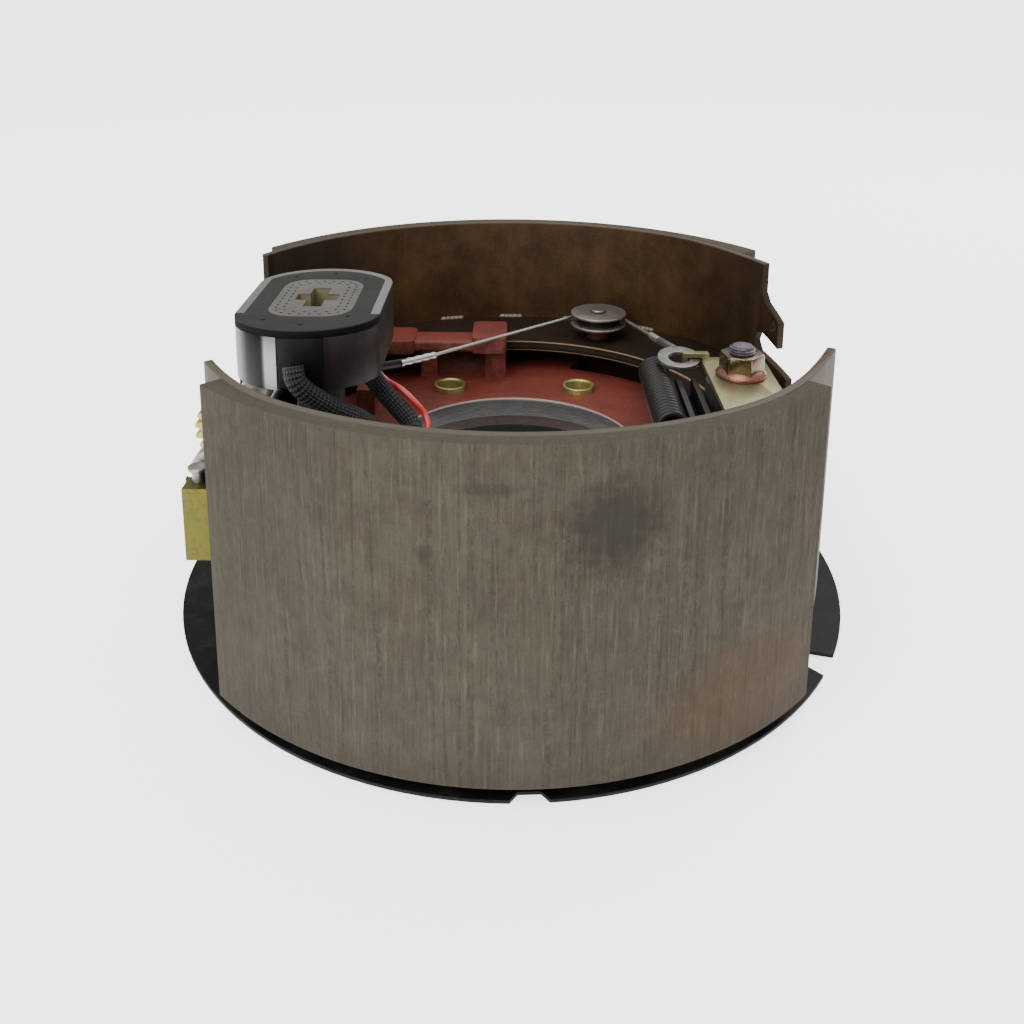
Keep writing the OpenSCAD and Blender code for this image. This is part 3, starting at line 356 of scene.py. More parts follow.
# Weld beads where the webs meet the tables: short runs of overlapping drops, left rough
# and pale against the paint.
weld = Finish("weld", metallic=0.4)
scale = weld.noise(900.0, 4.0, 0.65)
weld.colour(weld.mix(scale, (0.038, 0.022, 0.011), (0.26, 0.22, 0.165)))
weld.rough(0.45 + scale * 0.3)
weld.relief(scale, 0.2)
weld_r = 144.2


def weld_run(name, body, side, spans, height):
    work = bmesh.new()
    for first, last in spans:
        drops = int((last - first) / 0.9)
        for k in range(drops + 1):
            turn = math.radians(first + (last - first) * k / drops)
            at = Vector((weld_r * math.cos(turn), side * weld_r * math.sin(turn), height)) * mm
            size = Matrix.Diagonal((1.5 * mm, (1.9 + 0.25 * (k % 3)) * mm, 1.5 * mm, 1))
            bmesh.ops.create_icosphere(
                work, subdivisions=2, radius=1.0,
                matrix=Matrix.Translation(at) @ Matrix.Rotation(side * turn, 4, "Z") @ size)
    made(work, name, weld, body, sharp=0)


weld_run("far_welds", "far_shoe", 1, ((57, 61), (74, 78), (89, 93), (103, 107), (126, 131)), 77.6)
weld_run("near_welds", "near_shoe", -1, ((50, 55), (70, 76), (92, 98), (114, 120), (136, 141)), 77.6)
weld_run("far_welds_below", "far_shoe", 1, ((56, 61), (78, 83), (98, 103), (118, 124)), 72.4)
weld_run("near_welds_below", "near_shoe", -1, ((56, 61), (78, 83), (98, 103), (118, 124)), 72.4)

# Backing spider: sand-cast iron in red-brown primer, sagged on its upright faces.
# The pilot bore is machined bare, with a thin chamfer.
primer = Finish("cast_primer", coat=0.08, coat_roughness=0.45, specular=0.3)
sand = primer.noise(1100.0, 4.0, 0.65)
sag = primer.noise(60.0, 4.0, 0.6)
glint_speckle = primer.noise(240.0, 5.0, 0.7)
red = primer.mix(sag, (0.074, 0.0108, 0.0058), (0.138, 0.0250, 0.0140))
red = primer.mix(primer.between(sand, 0.58, 0.75) * 0.35, red, (0.21, 0.085, 0.062))
# Painted glints: light speckles on the faces turned towards the front.
face = primer.between(primer.add("ShaderNodeSeparateXYZ", None,
                                 {0: primer.add("ShaderNodeNewGeometry", output="Normal")}, "Y"), -0.6, -0.95)
red = primer.mix(face * primer.between(glint_speckle, 0.40, 0.70) * 0.35, red, (0.20, 0.10, 0.082))
grime = primer.noise(32.0, 4.0, 0.7)
red = primer.mix(primer.between(grime, 0.52, 0.75) * 0.6, red, (0.026, 0.0085, 0.006))
# Painted shade: the casting is darkened towards its right.
shaded_right_part = primer.between(primer.axis("X"), 40, 100)
red = primer.mix(shaded_right_part * 0.6, red, (0.030, 0.0085, 0.006))
from_axis = primer.radius()
level = primer.axis("Z")
land = primer.between(from_axis, 58.6, 58.3) * primer.between(level, 50.9, 51.3)
lathe_lines = primer.noise(2600.0, 2.0, 0.5, (0.02, 0.02, 1.0))
red = primer.mix(land, red, primer.mix(lathe_lines, (0.026, 0.025, 0.026), (0.085, 0.082, 0.079)))
chamfer = primer.between(from_axis, 58.3, 58.6) * primer.between(from_axis, 59.4, 59.1)
chamfer = chamfer * primer.between(level, 60.0, 60.3) * primer.between(level, 61.3, 61.1)
red = primer.mix(chamfer, red, (0.26, 0.18, 0.155))
# Painted shadow: near-black in the bore below the machined land.
below = primer.between(level, 50.9, 50.5) * primer.between(from_axis, 63.0, 62.0)
red = primer.mix(below * 0.9, red, (0.010, 0.007, 0.006))
primer.colour(red)
primer.rough(0.44 + sand * 0.3 - land * 0.15)
primer.metal(land * 0.75 + chamfer * 0.3)
primer.relief(sand * 0.6 + sag * 1.2 + glint_speckle * 0.5, 0.45)
eased("spider", primer, 1.3, "backing", steps=4)

# Dust shield: pressed sheet in black paint with a little dust on it and one pale scratch
# on the rim.
black = Finish("shield_paint", specular=0.10)
dust = black.noise(60.0, 6.0, 0.72)
orange_peel = black.noise(700.0, 3.0, 0.5)
skin = black.mix(black.between(dust, 0.42, 0.8), (0.0045, 0.0042, 0.0045), (0.019, 0.0175, 0.0165))
skin = black.mix(black.between(black.specks(500.0), 0.10, 0.03) * 0.4, skin, (0.11, 0.105, 0.1))
scratch = black.spot((52, -136, 1.5), (2.6, 0.5, 3)) + (dust - 0.5) * 0.7
skin = black.mix(black.between(scratch, 1.1, 0.5), skin, (0.5, 0.49, 0.47))
black.colour(skin)
black.rough(0.36 + dust * 0.3)
black.relief(dust * 0.7 + orange_peel * 0.35, 0.15)
eased("dust_shield", black, 0.35, "backing")

# Mounting sleeves: turned steel, yellow zinc plated, pressed into the bolt holes.
# The plating drifts from yellow to green and pink, and goes dull where it was handled.
def zinc_plating(name, yellow, second, dull):
    zinc = Finish(name, metallic=0.9)
    drift = zinc.noise(75.0, 3.0, 0.5)
    wear = zinc.noise(600.0, 4.0, 0.65)
    plate = zinc.mix(zinc.between(drift, 0.36, 0.64), yellow, second)
    plate = zinc.mix(zinc.between(wear, 0.5, 0.72) * 0.55, plate, dull)
    zinc.colour(plate)
    zinc.rough(0.3 + wear * 0.25)
    zinc.relief(wear * 0.6 + drift, 0.12)
    return zinc


zinc = zinc_plating("yellow_zinc", (0.42, 0.31, 0.085), (0.34, 0.32, 0.15), (0.17, 0.13, 0.065))
eased("mounting_sleeves", zinc, 0.35, "backing")

# Shield screws: dark hexagon screws from below, through the sheet into the ring.
oiled = Finish("oiled_steel", metallic=0.75)
film = oiled.noise(300.0, 5.0, 0.6)
smear = oiled.noise(45.0, 3.0)
oily = oiled.mix(film, (0.028, 0.025, 0.023), (0.10, 0.094, 0.090))
oiled.colour(oiled.mix(smear, oily, (0.050, 0.042, 0.035)))
oiled.rough(0.34 + film * 0.32)
oiled.relief(film, 0.2)
eased("shield_screws", oiled, 0.3, "backing")

# Anchor post: one forging with a shank in the boss, a plain cylinder that the shoes'
# webs seat on, and a stud. The stud's top has its thread cut round it.
eased("anchor_post", oiled, 0.5, "backing")
stud = Finish("stud", metallic=0.85)
tint = stud.noise(260.0, 4.0)
stud.colour(stud.mix(tint, (0.055, 0.048, 0.068), (0.21, 0.195, 0.24)))
stud.rough(0.3 + tint * 0.25)
post_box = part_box("anchor_post")
nut_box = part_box("anchor_nut")
post_x = (nut_box[0][0] + nut_box[1][0]) / 2
thread = bmesh.new()
pitch_z = 1.25 * mm
turns = (post_box[1][2] - nut_box[1][2] + 1.2 * mm) / pitch_z
profile = [thread.verts.new(p) for p in ((5.2 * mm, 0, -0.55 * mm), (6.0 * mm, 0, 0), (5.2 * mm, 0, 0.55 * mm))]
ridge = [thread.edges.new(pair) for pair in zip(profile, profile[1:])]
ridge_steps = int(turns * 32)
bmesh.ops.spin(thread, geom=profile + ridge, cent=(0, 0, 0), axis=(0, 0, 1),
               dvec=(0, 0, pitch_z / 32), angle=turns * 2 * math.pi, steps=ridge_steps)
bmesh.ops.recalc_face_normals(thread, faces=thread.faces)
bmesh.ops.translate(thread, verts=thread.verts, vec=(post_x, 0, nut_box[1][2] - 1.6 * mm))
for vert in thread.verts:
    vert.co.z = min(vert.co.z, post_box[1][2] - 0.3 * mm)
bmesh.ops.create_cone(thread, cap_ends=True, segments=40, radius1=5.35 * mm, radius2=4.6 * mm, depth=4 * mm,
                      matrix=Matrix.Translation((post_x, 0, post_box[1][2] - 1.99 * mm)))
made(thread, "stud_thread", stud, "backing", sharp=35)

# Anchor plate: a flat stamping under the nut that keeps the shoes on the post. One end
# is folded into the tab that holds the cable's eye.
plate_zinc = zinc_plating("plate_zinc", (0.31, 0.265, 0.135), (0.24, 0.24, 0.145), (0.16, 0.14, 0.09))
eased("anchor_plate", plate_zinc, 0.4, "backing")

# Anchor nut: a flange nut with chamfered corners, its flange turned pink by the plating.
nut_zinc = Finish("nut_zinc", metallic=0.92)
nut_wear = nut_zinc.noise(420.0, 4.0, 0.6)
nut_drift = nut_zinc.noise(160.0, 2.0)
nut_level = nut_zinc.axis("Z") + (nut_drift - 0.5) * 6
nut_top = nut_box[1][2] / mm
hexagon = nut_zinc.mix(nut_zinc.between(nut_drift, 0.4, 0.62), (0.132, 0.105, 0.058), (0.110, 0.068, 0.055))
nut_zinc.colour(nut_zinc.mix(nut_zinc.between(nut_level, nut_top - 8.4, nut_top - 6.6),
                             (0.19, 0.085, 0.058), hexagon))
nut_zinc.rough(0.18 + nut_wear * 0.2)
nut_zinc.relief(nut_wear, 0.1)
nut = bmesh.new()
nut_low, flange_r, flat_r = nut_box[0][2], 11.7 * mm, 9.0 * mm
bmesh.ops.create_cone(nut, cap_ends=True, segments=72, radius1=flange_r, radius2=flange_r, depth=1.5 * mm,
                      matrix=Matrix.Translation((post_x, 0, nut_low + 0.75 * mm)))
bmesh.ops.create_cone(nut, cap_ends=True, segments=72, radius1=flange_r - 0.1 * mm, radius2=flat_r,
                      depth=2.2 * mm, matrix=Matrix.Translation((post_x, 0, nut_low + 2.6 * mm)))
rims = [e for e in nut.edges if len(e.link_faces) == 2 and e.calc_face_angle() > 1.2
        and e.verts[0].co.z < nut_low + 1.6 * mm]
bmesh.ops.bevel(nut, geom=rims, offset=0.4 * mm, segments=3, profile=0.5, affect="EDGES", material=-1)
hexagon_r = flat_r / math.cos(math.pi / 6)
block_middle = Matrix.Translation((post_x, 0, (nut_box[1][2] + nut_low + 1.0 * mm) / 2))
block = bmesh.ops.create_cone(nut, cap_ends=True, segments=6, radius1=hexagon_r, radius2=hexagon_r,
                              depth=nut_box[1][2] - nut_low - 1.0 * mm,
                              matrix=block_middle @ Matrix.Rotation(math.radians(12), 4, "Z"))
corners = [v for v in block["verts"] if v.co.z > nut_box[1][2] - 0.1 * mm]
bmesh.ops.bevel(nut, geom=corners, offset=1.5 * mm, segments=1, profile=0.5, affect="VERTICES", material=-1)
edges = [e for e in nut.edges if min(v.co.z for v in e.verts) > nut_low + 0.9 * mm
         and len(e.link_faces) == 2 and e.calc_face_angle() > 0.7
         and max((v.co.xy - Vector((post_x, 0))).length for v in e.verts) < flange_r - 0.8 * mm]
bmesh.ops.bevel(nut, geom=edges, offset=0.35 * mm, segments=2, profile=0.5, affect="EDGES", material=-1)
bmesh.ops.recalc_face_normals(nut, faces=nut.faces)
made(nut, "anchor_nut_dressed", nut_zinc, "backing", "anchor_nut", sharp=30)

# Cable guide: a grooved steel pulley on a shouldered rivet, over a copper-coloured spacer.
bare = Finish("plain_steel", metallic=0.95)
lathe = bare.noise(900.0, 4.0, 0.6)
tarnish = bare.noise(90.0, 4.0, 0.6)
turned = bare.mix(lathe, (0.20, 0.192, 0.18), (0.36, 0.352, 0.33))
bare.colour(bare.mix(bare.between(tarnish, 0.4, 0.75), turned, (0.13, 0.12, 0.105)))
bare.rough(0.27 + lathe * 0.25)
bare.relief(lathe, 0.06)
disc = Finish("pulley_steel", metallic=0.9)
swirl = disc.noise(500.0, 4.0, 0.6)
off_centre = disc.spot((47, 109, 0), (1, 1, 1e6))
rings = disc.add("ShaderNodeMath", {"operation": "SINE"}, {0: off_centre * 7.5 + swirl * 2})
# Painted shade: the pulley inside its rim and below its top face, where the cable runs, is darkened almost to
# black.
disc.colour(disc.mix(disc.between(off_centre, 12.2, 11.4) * disc.between(disc.axis("Z"), 91.6, 91.2),
                     disc.mix(swirl, (0.165, 0.149, 0.133), (0.315, 0.288, 0.258)), (0.014, 0.013, 0.012)))
disc.rough(0.36 + swirl * 0.2)
disc.relief(rings * 0.3 + swirl * 0.5, 0.05)
eased("pulley", disc, 0.35, "guide_pulley")
eased("pulley_rivet", bare, 0.4, "far_shoe", steps=3)
copper = Finish("copper", metallic=0.85)
stained = copper.noise(300.0, 4.0)
copper.colour(copper.mix(stained, (0.20, 0.055, 0.035), (0.46, 0.185, 0.125)))
copper.rough(0.25 + stained * 0.2)
eased("pulley_spacer", copper, 0.35, "far_shoe")


# Adjuster cable: six wire strands laid round a core, from the eye round the pulley to
# the strap. Points are in mm and a smooth curve runs through them.
def smooth_route(points, step):
    points = [Vector(p) for p in points]
    fine = []
    for i in range(len(points) - 1):
        a, b = points[max(i - 1, 0)], points[i]
        c, d = points[i + 1], points[min(i + 2, len(points) - 1)]
        for k in range(24):
            t = k / 24
            fine.append(0.5 * (2 * b + (c - a) * t + (2 * a - 5 * b + 4 * c - d) * t ** 2
                               + (3 * b - a - 3 * c + d) * t ** 3))
    fine.append(points[-1])
    run = [0.0]
    for p, q in zip(fine, fine[1:]):
        run.append(run[-1] + (q - p).length)
    count = max(2, round(run[-1] / step))
    even, at = [], 0
    for k in range(count + 1):
        want = run[-1] * k / count
        while at < len(run) - 2 and run[at + 1] < want:
            at += 1
        share = (want - run[at]) / max(run[at + 1] - run[at], 1e-9)
        even.append(fine[at].lerp(fine[at + 1], min(share, 1)))
    return even


# A ring carried along a route, square to it. It may have lobes that twist, for strands,
# or be flattened into a strap. Its UV map runs round it and along it.
def swept(work, route, radius, sides, lobes=0, depth=0.0, lay=0.0, flat=None, taper=None):
    uv = work.loops.layers.uv.get("run") or work.loops.layers.uv.new("run")
    ring = bmesh.ops.create_circle(work, segments=sides, radius=radius * mm)["verts"]
    if flat:
        bmesh.ops.scale(work, verts=ring, vec=(flat[0] / radius, flat[1] / radius, 1))
    for vert in ring:
        angle = math.atan2(vert.co.y, vert.co.x)
        vert.co *= 1 + depth * math.cos(lobes * angle)
    ahead = (route[1] - route[0]).normalized()
    across = Vector((0, 0, 1)).cross(ahead)
    across = (across if across.length > 0.3 else Vector((0, 1, 0)).cross(ahead)).normalized()
    placed, rings, length = Matrix(), [ring], 0.0
    edges = list({e for v in ring for e in v.link_edges})
    for k, point in enumerate(route):
        tangent = (route[min(k + 1, len(route) - 1)] - route[max(k - 1, 0)]).normalized()
        across = ahead.rotation_difference(tangent).to_matrix() @ across
        across = (across - across.dot(tangent) * tangent).normalized()
        ahead = tangent
        if lay and k:
            step = (point - route[k - 1]).length
            across = Matrix.Rotation(2 * math.pi * step / lay, 3, tangent) @ across
        size = taper(k / (len(route) - 1)) if taper else 1.0
        turned = Matrix((across, ahead.cross(across), ahead)).transposed().to_4x4()
        here = Matrix.Translation(point * mm) @ turned @ Matrix.Diagonal((size, size, 1, 1))
        if k:
            length += (point - route[k - 1]).length
            order = {v: j for j, v in enumerate(rings[-1])}
            grown = bmesh.ops.extrude_edge_only(work, edges=edges)["geom"]
            ends = [g for g in grown if isinstance(g, bmesh.types.BMVert)]
            edges = [g for g in grown if isinstance(g, bmesh.types.BMEdge) and all(v in ends for v in g.verts)]
            next_ring = [None] * sides
            for v in ends:
                for e in v.link_edges:
                    o = e.other_vert(v)
                    if o in order:
                        next_ring[order[o]] = v
            faces = [g for g in grown if isinstance(g, bmesh.types.BMFace)]
            was = length - (point - route[k - 1]).length
            for f in faces:
                spots = [order.get(l.vert, next_ring.index(l.vert) if l.vert in ends else 0) for l in f.loops]
                wrap = max(spots) - min(spots) > sides / 2
                for l, s in zip(f.loops, spots):
                    s = s + sides if wrap and s < sides / 2 else s
                    l[uv].uv = (s / sides, (length if l.vert in ends else was) / (2 * math.pi * radius))
            bmesh.ops.transform(work, matrix=here @ placed.inverted(), verts=ends)
            rings.append(next_ring)
        else:
            bmesh.ops.transform(work, matrix=here, verts=ring)
        placed = here
    for last in (rings[0], rings[-1]):
        work.faces.new(last)
    bmesh.ops.recalc_face_normals(work, faces=work.faces)


strand = Finish("cable_steel", metallic=0.95)
glint = strand.noise(1400.0, 3.0)
strand.colour(strand.mix(glint, (0.22, 0.212, 0.20), (0.52, 0.51, 0.49)))
strand.rough(0.25 + glint * 0.25)
pulley_centre = (47.0, 109.0)
cable_level = 88.4
wrap_r = 12.7
crimp_a, crimp_b = Vector((72, 69, 92.5)), Vector((77, 42, 96.5))
hook_a, hook_b = Vector((-57.5, 46.2, 84.6)), Vector((-41.5, 56.7, 85.2))
cable = bmesh.new()
cable_route = [crimp_a + (crimp_b - crimp_a).normalized() * 3]
for degrees in range(32, 159, 9):
    turn = math.radians(degrees)
    cable_route.append(Vector((pulley_centre[0] + wrap_r * math.cos(turn),
                               pulley_centre[1] + wrap_r * math.sin(turn), cable_level)))
cable_route.append(hook_b + (hook_a - hook_b).normalized() * 3)
straight = []
for a, b in zip(cable_route, cable_route[1:]):
    parts = max(1, round((b - a).length / 1.3))
    straight += [a.lerp(b, k / parts) for k in range(parts)]
swept(cable, straight + [cable_route[-1]], 0.95, 18, lobes=6, depth=0.14, lay=13.0)
made(cable, "stranded_cable", strand, "far_shoe", "adjuster_cable", sharp=0)

# Crimped ferrules: bright tubes squeezed on to the cable's two ends, waisted by the tool.
bright = Finish("bright_steel", metallic=0.92)
brush = bright.noise(800.0, 3.0, 0.6)
bright.colour(bright.mix(brush, (0.33, 0.322, 0.31), (0.56, 0.55, 0.53)))
bright.rough(0.24 + brush * 0.2)
bright.relief(brush, 0.05)
ferrules = bmesh.new()


def squeezed(t):
    return 0.8 + 0.2 * math.cos(t * 4 * math.pi) ** 2 if 0.08 < t < 0.92 else 0.93


for start, end, length in ((crimp_a, crimp_b, 15.0), (hook_b, hook_a, 19.5)):
    along = (end - start).normalized()
    swept(ferrules, [start + along * (length * k / 30 - 0.2) for k in range(31)], 2.0, 24, taper=squeezed)
made(ferrules, "ferrules", bright, "far_shoe", "cable_crimp")

# Cable eye: a flat ring dropped over the plate's tab, with a neck that runs into the ferrule.
eye_steel = Finish("eye_steel", metallic=0.9)
rubbed = eye_steel.noise(350.0, 4.0)
eye_steel.colour(eye_steel.mix(rubbed, (0.12, 0.114, 0.108), (0.265, 0.253, 0.238)))
eye_steel.rough(0.33 + rubbed * 0.25)
eased("cable_eye", eye_steel, 0.55, "backing", steps=3)

# Strap: a dark flat bar from the ferrule to the adjuster lever, its top edge sheared bright.
# Its far end is a round rod bent into the lever's hole.
strap_steel = Finish("strap_steel", metallic=0.7)
strap_film = strap_steel.noise(300.0, 4.0)
strap_edge = strap_steel.between(strap_steel.axis("Z"), 89.3, 89.7)
strap_flat = strap_steel.mix(strap_film, (0.014, 0.013, 0.014), (0.050, 0.047, 0.047))
strap_steel.colour(strap_steel.mix(strap_edge, strap_flat, (0.42, 0.41, 0.39)))
strap_steel.rough(0.3 + strap_film * 0.25)
strap = bmesh.new()
hook_corner = Vector((-109, 7, 89))
lever_hole = Vector((-109, -28, 89))
line = (hook_corner - hook_a).normalized()
swept(strap, [hook_a - line * 2, hook_a + line * 0.5, hook_a + line * 3,
              hook_corner - line * 16, hook_corner - line * 8], 2.0, 16, flat=(1.0, 2.3))
swept(strap, smooth_route([hook_corner - line * 9, hook_corner - line * 4, (-109.0, 4, 89),
                           (-109, -2, 89), (-109, -14, 89), lever_hole], 1.5), 1.5, 14)
made(strap, "cable_strap", strap_steel, "far_shoe", "cable_hook", sharp=45)


# Retractor spring: close-wound from dark oiled wire, hooked over both webs at the anchor
# end. Each coil here is one wire spun round its axis.
def coiled(work, centre_r, wire_r, pitch, turns, place):
    around = 22
    across_wire = Matrix.Translation((centre_r * mm, 0, wire_r * mm)) @ Matrix.Rotation(math.pi / 2, 4, "X")
    ring = bmesh.ops.create_circle(work, segments=10, radius=wire_r * mm, matrix=across_wire)["verts"]
    edges = list({e for v in ring for e in v.link_edges})
    first = list(ring)
    out = bmesh.ops.spin(work, geom=first + edges, cent=(0, 0, 0), axis=(0, 0, 1),
                         dvec=(0, 0, pitch * mm / around), angle=turns * 2 * math.pi,
                         steps=int(turns * around))["geom_last"]
    work.faces.new(first)
    bmesh.ops.contextual_create(work, geom=[g for g in out if isinstance(g, bmesh.types.BMEdge)])
    mine = set(first)
    queue = list(first)
    while queue:
        for e in queue.pop().link_edges:
            for v in e.verts:
                if v not in mine:
                    mine.add(v)
                    queue.append(v)
    bmesh.ops.transform(work, matrix=place, verts=list(mine))


spring_steel = Finish("spring_steel", metallic=0.1, coat=0.05, coat_roughness=0.3, specular=0.2)
spring_film = spring_steel.noise(260.0, 4.0, 0.6)
spring_steel.colour(spring_steel.mix(spring_film, (0.005, 0.004, 0.0034), (0.020, 0.0165, 0.014)))
spring_steel.rough(0.24 + spring_film * 0.24)
spring = bmesh.new()
spring_x, spring_z, wire, spring_turns = 69.0, 86.5, 3.3, 22
half = spring_turns * wire / 2
lie = Matrix.Rotation(-math.pi / 2, 4, "X")
coiled(spring, 6.0, wire / 2, wire, spring_turns - 1.0,
       Matrix.Translation(Vector((spring_x, -half, spring_z)) * mm) @ lie)
for s in (-1, 1):
    start = Vector((spring_x + 6.5, s * (half - 1.4), spring_z))
    hook = [start, (spring_x + 5.6, s * (half + 0.6), spring_z + 3.2),
            (spring_x + 2.5, s * (half + 2.6), spring_z + 3.0),
            (spring_x + 1.2, s * (half + 6.5), spring_z + 0.6), (73.2, s * 57.5, spring_z),
            (74.0, s * 62.0, spring_z - 0.2), (74.0, s * 64.4, spring_z - 2.4),
            (74.0, s * 64.0, 80.5), (74.0, s * 64.0, 70.8)]
    swept(spring, smooth_route(hook, 1.4), 1.2, 12)
made(spring, "retractor_coil", spring_steel, "far_shoe", "retractor_spring", sharp=0)

# Adjuster spring: a lighter coil low between the shoes, behind the adjuster, which pulls
# the webs on to the screw and the nut.
light_spring = bmesh.new()
coiled(light_spring, 2.8, 0.8, 1.6, 25, Matrix.Translation(Vector((-99, 22, 64.9)) * mm) @ lie)
for hook in ([(-96.3, 22.8, 64.9), (-97.6, 20.4, 65.6), (-99, 17, 65), (-99, 0, 64.9), (-99, -60, 64.9),
              (-99, -74, 65.2), (-99, -77.6, 67.5), (-99, -78, 71), (-99, -78, 79.4)],
             [(-96.3, 61.2, 64.9), (-97.6, 63.4, 65.6), (-99, 66, 65), (-99, 74.6, 65.2), (-99, 77.6, 67.5),
              (-99, 78, 71), (-99, 78, 79.4)]):
    swept(light_spring, smooth_route(hook, 1.6), 0.8, 10)
made(light_spring, "adjuster_coil", spring_steel, "far_shoe", "adjuster_spring", sharp=0)

# Adjuster: a slotted socket on the near shoe, a plated screw with its star wheel, and a
# long slotted nut on the far shoe.
eased("adjuster_socket", bare, 0.4, "near_shoe")
eased("star_screw", zinc, 0.3, "screw")
eased("adjuster_nut", bare, 0.45, "long_nut")

# Self-adjusting lever: a plated stamping that swings on a riveted bracket under the near
# web, with a fine coil that brings it back.
bracket_zinc = zinc_plating("bracket_zinc", (0.115, 0.100, 0.020), (0.085, 0.098, 0.028), (0.085, 0.040, 0.022))
eased("lever_bracket", bracket_zinc, 0.4, "near_shoe")
eased("bracket_rivets", bare, 0.4, "near_shoe", steps=3)
lever_zinc = zinc_plating("lever_zinc", (0.135, 0.120, 0.025), (0.100, 0.115, 0.034), (0.090, 0.045, 0.022))
eased("adjuster_lever", lever_zinc, 0.35, "lever")
eased("lever_pin", oiled, 0.35, "near_shoe")
fine_coil = bmesh.new()
coiled(fine_coil, 1.95, 0.42, 0.9, 14, Matrix.Translation(Vector((-138.5, -29.8, 27.2)) * mm))
made(fine_coil, "lever_coil", spring_steel, "near_shoe", "lever_spring", sharp=0)

# Actuating arm: a dark iron casting with a hub on the pin, a curved beam round the
# spindle opening, and a pedestal under the magnet. A washer holds it on its pin.
cast = Finish("arm_casting", metallic=0.45)
pitted = cast.noise(1000.0, 4.0, 0.65)
oil = cast.noise(50.0, 4.0)
iron = cast.mix(pitted, (0.013, 0.0115, 0.011), (0.048, 0.043, 0.040))
cast.colour(cast.mix(oil, iron, (0.028, 0.023, 0.019)))
cast.rough(0.42 + pitted * 0.3)
cast.relief(pitted * 0.7 + oil, 0.45)
eased("actuating_arm", cast, 1.0, "arm", steps=3)
eased("arm_pin", bare, 0.35, "backing")
eased("arm_retainer", oiled, 0.25, "backing")

# Push link: a black folded channel between the arm and the shoes' webs, its two sheared
# top edges a little worn.
link = Finish("link_paint", specular=0.12)
scrape = link.noise(260.0, 4.0)
link_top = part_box("push_link")[1][2] / mm
link_edge = link.between(link.axis("Z"), link_top - 0.35, link_top - 0.1)
link_colour = link.mix(link.between(scrape, 0.56, 0.8), (0.004, 0.004, 0.0045), (0.030, 0.029, 0.028))
link.colour(link.mix(link_edge * (0.3 + scrape * 0.7), link_colour, (0.055, 0.053, 0.051)))
link.rough(0.5 + scrape * 0.2)
link.metal(link_edge * 0.4)
eased("push_link", link, 0.4, "link")

# Magnet case: a thick steel band round the magnet, open at the front. Its ground rim is light and matte,
# its left cheek polished with painted light and dark reflection bands, and its right side darker, rougher and
# less metallic.
magnet_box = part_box("magnet_case")
magnet_top = magnet_box[1][2] / mm
case = Finish("magnet_case", metallic=0.9)
band_grain = case.noise(500.0, 4.0, 0.6)
upright = case.noise(700.0, 2.0, 0.5, (1.0, 1.0, 0.03))
rim = case.between(case.axis("Z"), magnet_top - 0.7, magnet_top - 0.3)
across = case.axis("X")
# The right side is darker, rougher and less metallic.
right_side = case.between(across, -86, -80) * case.between(case.axis("Y"), 46, 30)
cheek = case.mix(upright, (0.034, 0.033, 0.031), (0.058, 0.056, 0.053))
# Painted reflections: light and dark bands across the polished cheek.
cheek_highlight_band = case.between(across, -105.0, -103.6) + case.between(across, -114.5, -116.5) * 0.2
cheek_dark_reflection = case.between(across, -114.8, -112.8) * case.between(across, -104.6, -106.0)
cheek = case.mix(cheek_dark_reflection * 0.9, case.mix(cheek_highlight_band, cheek, (0.24, 0.233, 0.22)), (0.008, 0.0072, 0.0072))
wrap = case.mix(right_side, cheek, case.mix(band_grain, (0.017, 0.0135, 0.013), (0.038, 0.032, 0.030)))
case.colour(case.mix(rim, wrap, case.mix(band_grain, (0.094, 0.089, 0.082), (0.152, 0.145, 0.135))))
case.rough(0.26 + band_grain * 0.14 + right_side * 0.16 + rim * 0.3)
case.metal(0.95 - rim * 0.55 - right_side * 0.35)
case.relief(upright * 0.6 + band_grain * 0.4, 0.05)


# The oblong's four corners are rounded where its straight sides meet its curved ends.
def corners_rounded(work):
    cx, cy, half_w, half_l, end_r, bend = (v * mm for v in (-89.5, 0, 31.25, 47, 36.5, 20))
    end_y = half_l - end_r
    bend_y = end_y + math.sqrt((end_r - bend) ** 2 - (half_w - bend) ** 2)
    last = math.atan2(bend_y - end_y, half_w - bend)
    for k in range(8):
        for way in (1, -1):
            bmesh.ops.bisect_plane(work, geom=work.verts[:] + work.edges[:] + work.faces[:], dist=1e-7,
                                   plane_co=(0, cy + way * (bend_y + k * 1.2 * mm), 0), plane_no=(0, 1, 0))
    for vert in work.verts:
        x, y = vert.co.x - cx, vert.co.y - cy
        off_x, off_y = abs(x) - (half_w - bend), abs(y) - bend_y
        if off_x > 0 and 0 <= math.atan2(off_y, off_x) <= last and math.hypot(off_x, off_y) > bend:
            keep = bend / math.hypot(off_x, off_y)
            vert.co.x = cx + math.copysign(half_w - bend + off_x * keep, x)
            vert.co.y = cy + math.copysign(bend_y + off_y * keep, y)


eased("magnet_case", case, 0.35, "magnet", shape=corners_rounded)

# Friction face: dark sintered plate, flush with the rim, with six small dowel holes.
friction = Finish("friction_face", specular=0.06)
rubbing = friction.noise(700.0, 4.0, 0.65)
sweep_marks = friction.noise(90.0, 4.0, 0.6, (0.25, 1.0, 1.0))
plate_grey = friction.mix(sweep_marks, (0.020, 0.0197, 0.0193), (0.037, 0.0363, 0.0355))
plate_grey = friction.mix(friction.between(rubbing, 0.56, 0.74) * 0.4, plate_grey, (0.062, 0.061, 0.0595))
edge_dark = friction.between(friction.axis("Z"), magnet_top - 0.25, magnet_top - 0.6)
friction.colour(friction.mix(edge_dark, plate_grey, (0.007, 0.0068, 0.0074)))
friction.rough(0.72 + rubbing * 0.2)
friction.relief(rubbing, 0.1)
eased("magnet_face", friction, 0.3, "magnet", shape=corners_rounded)

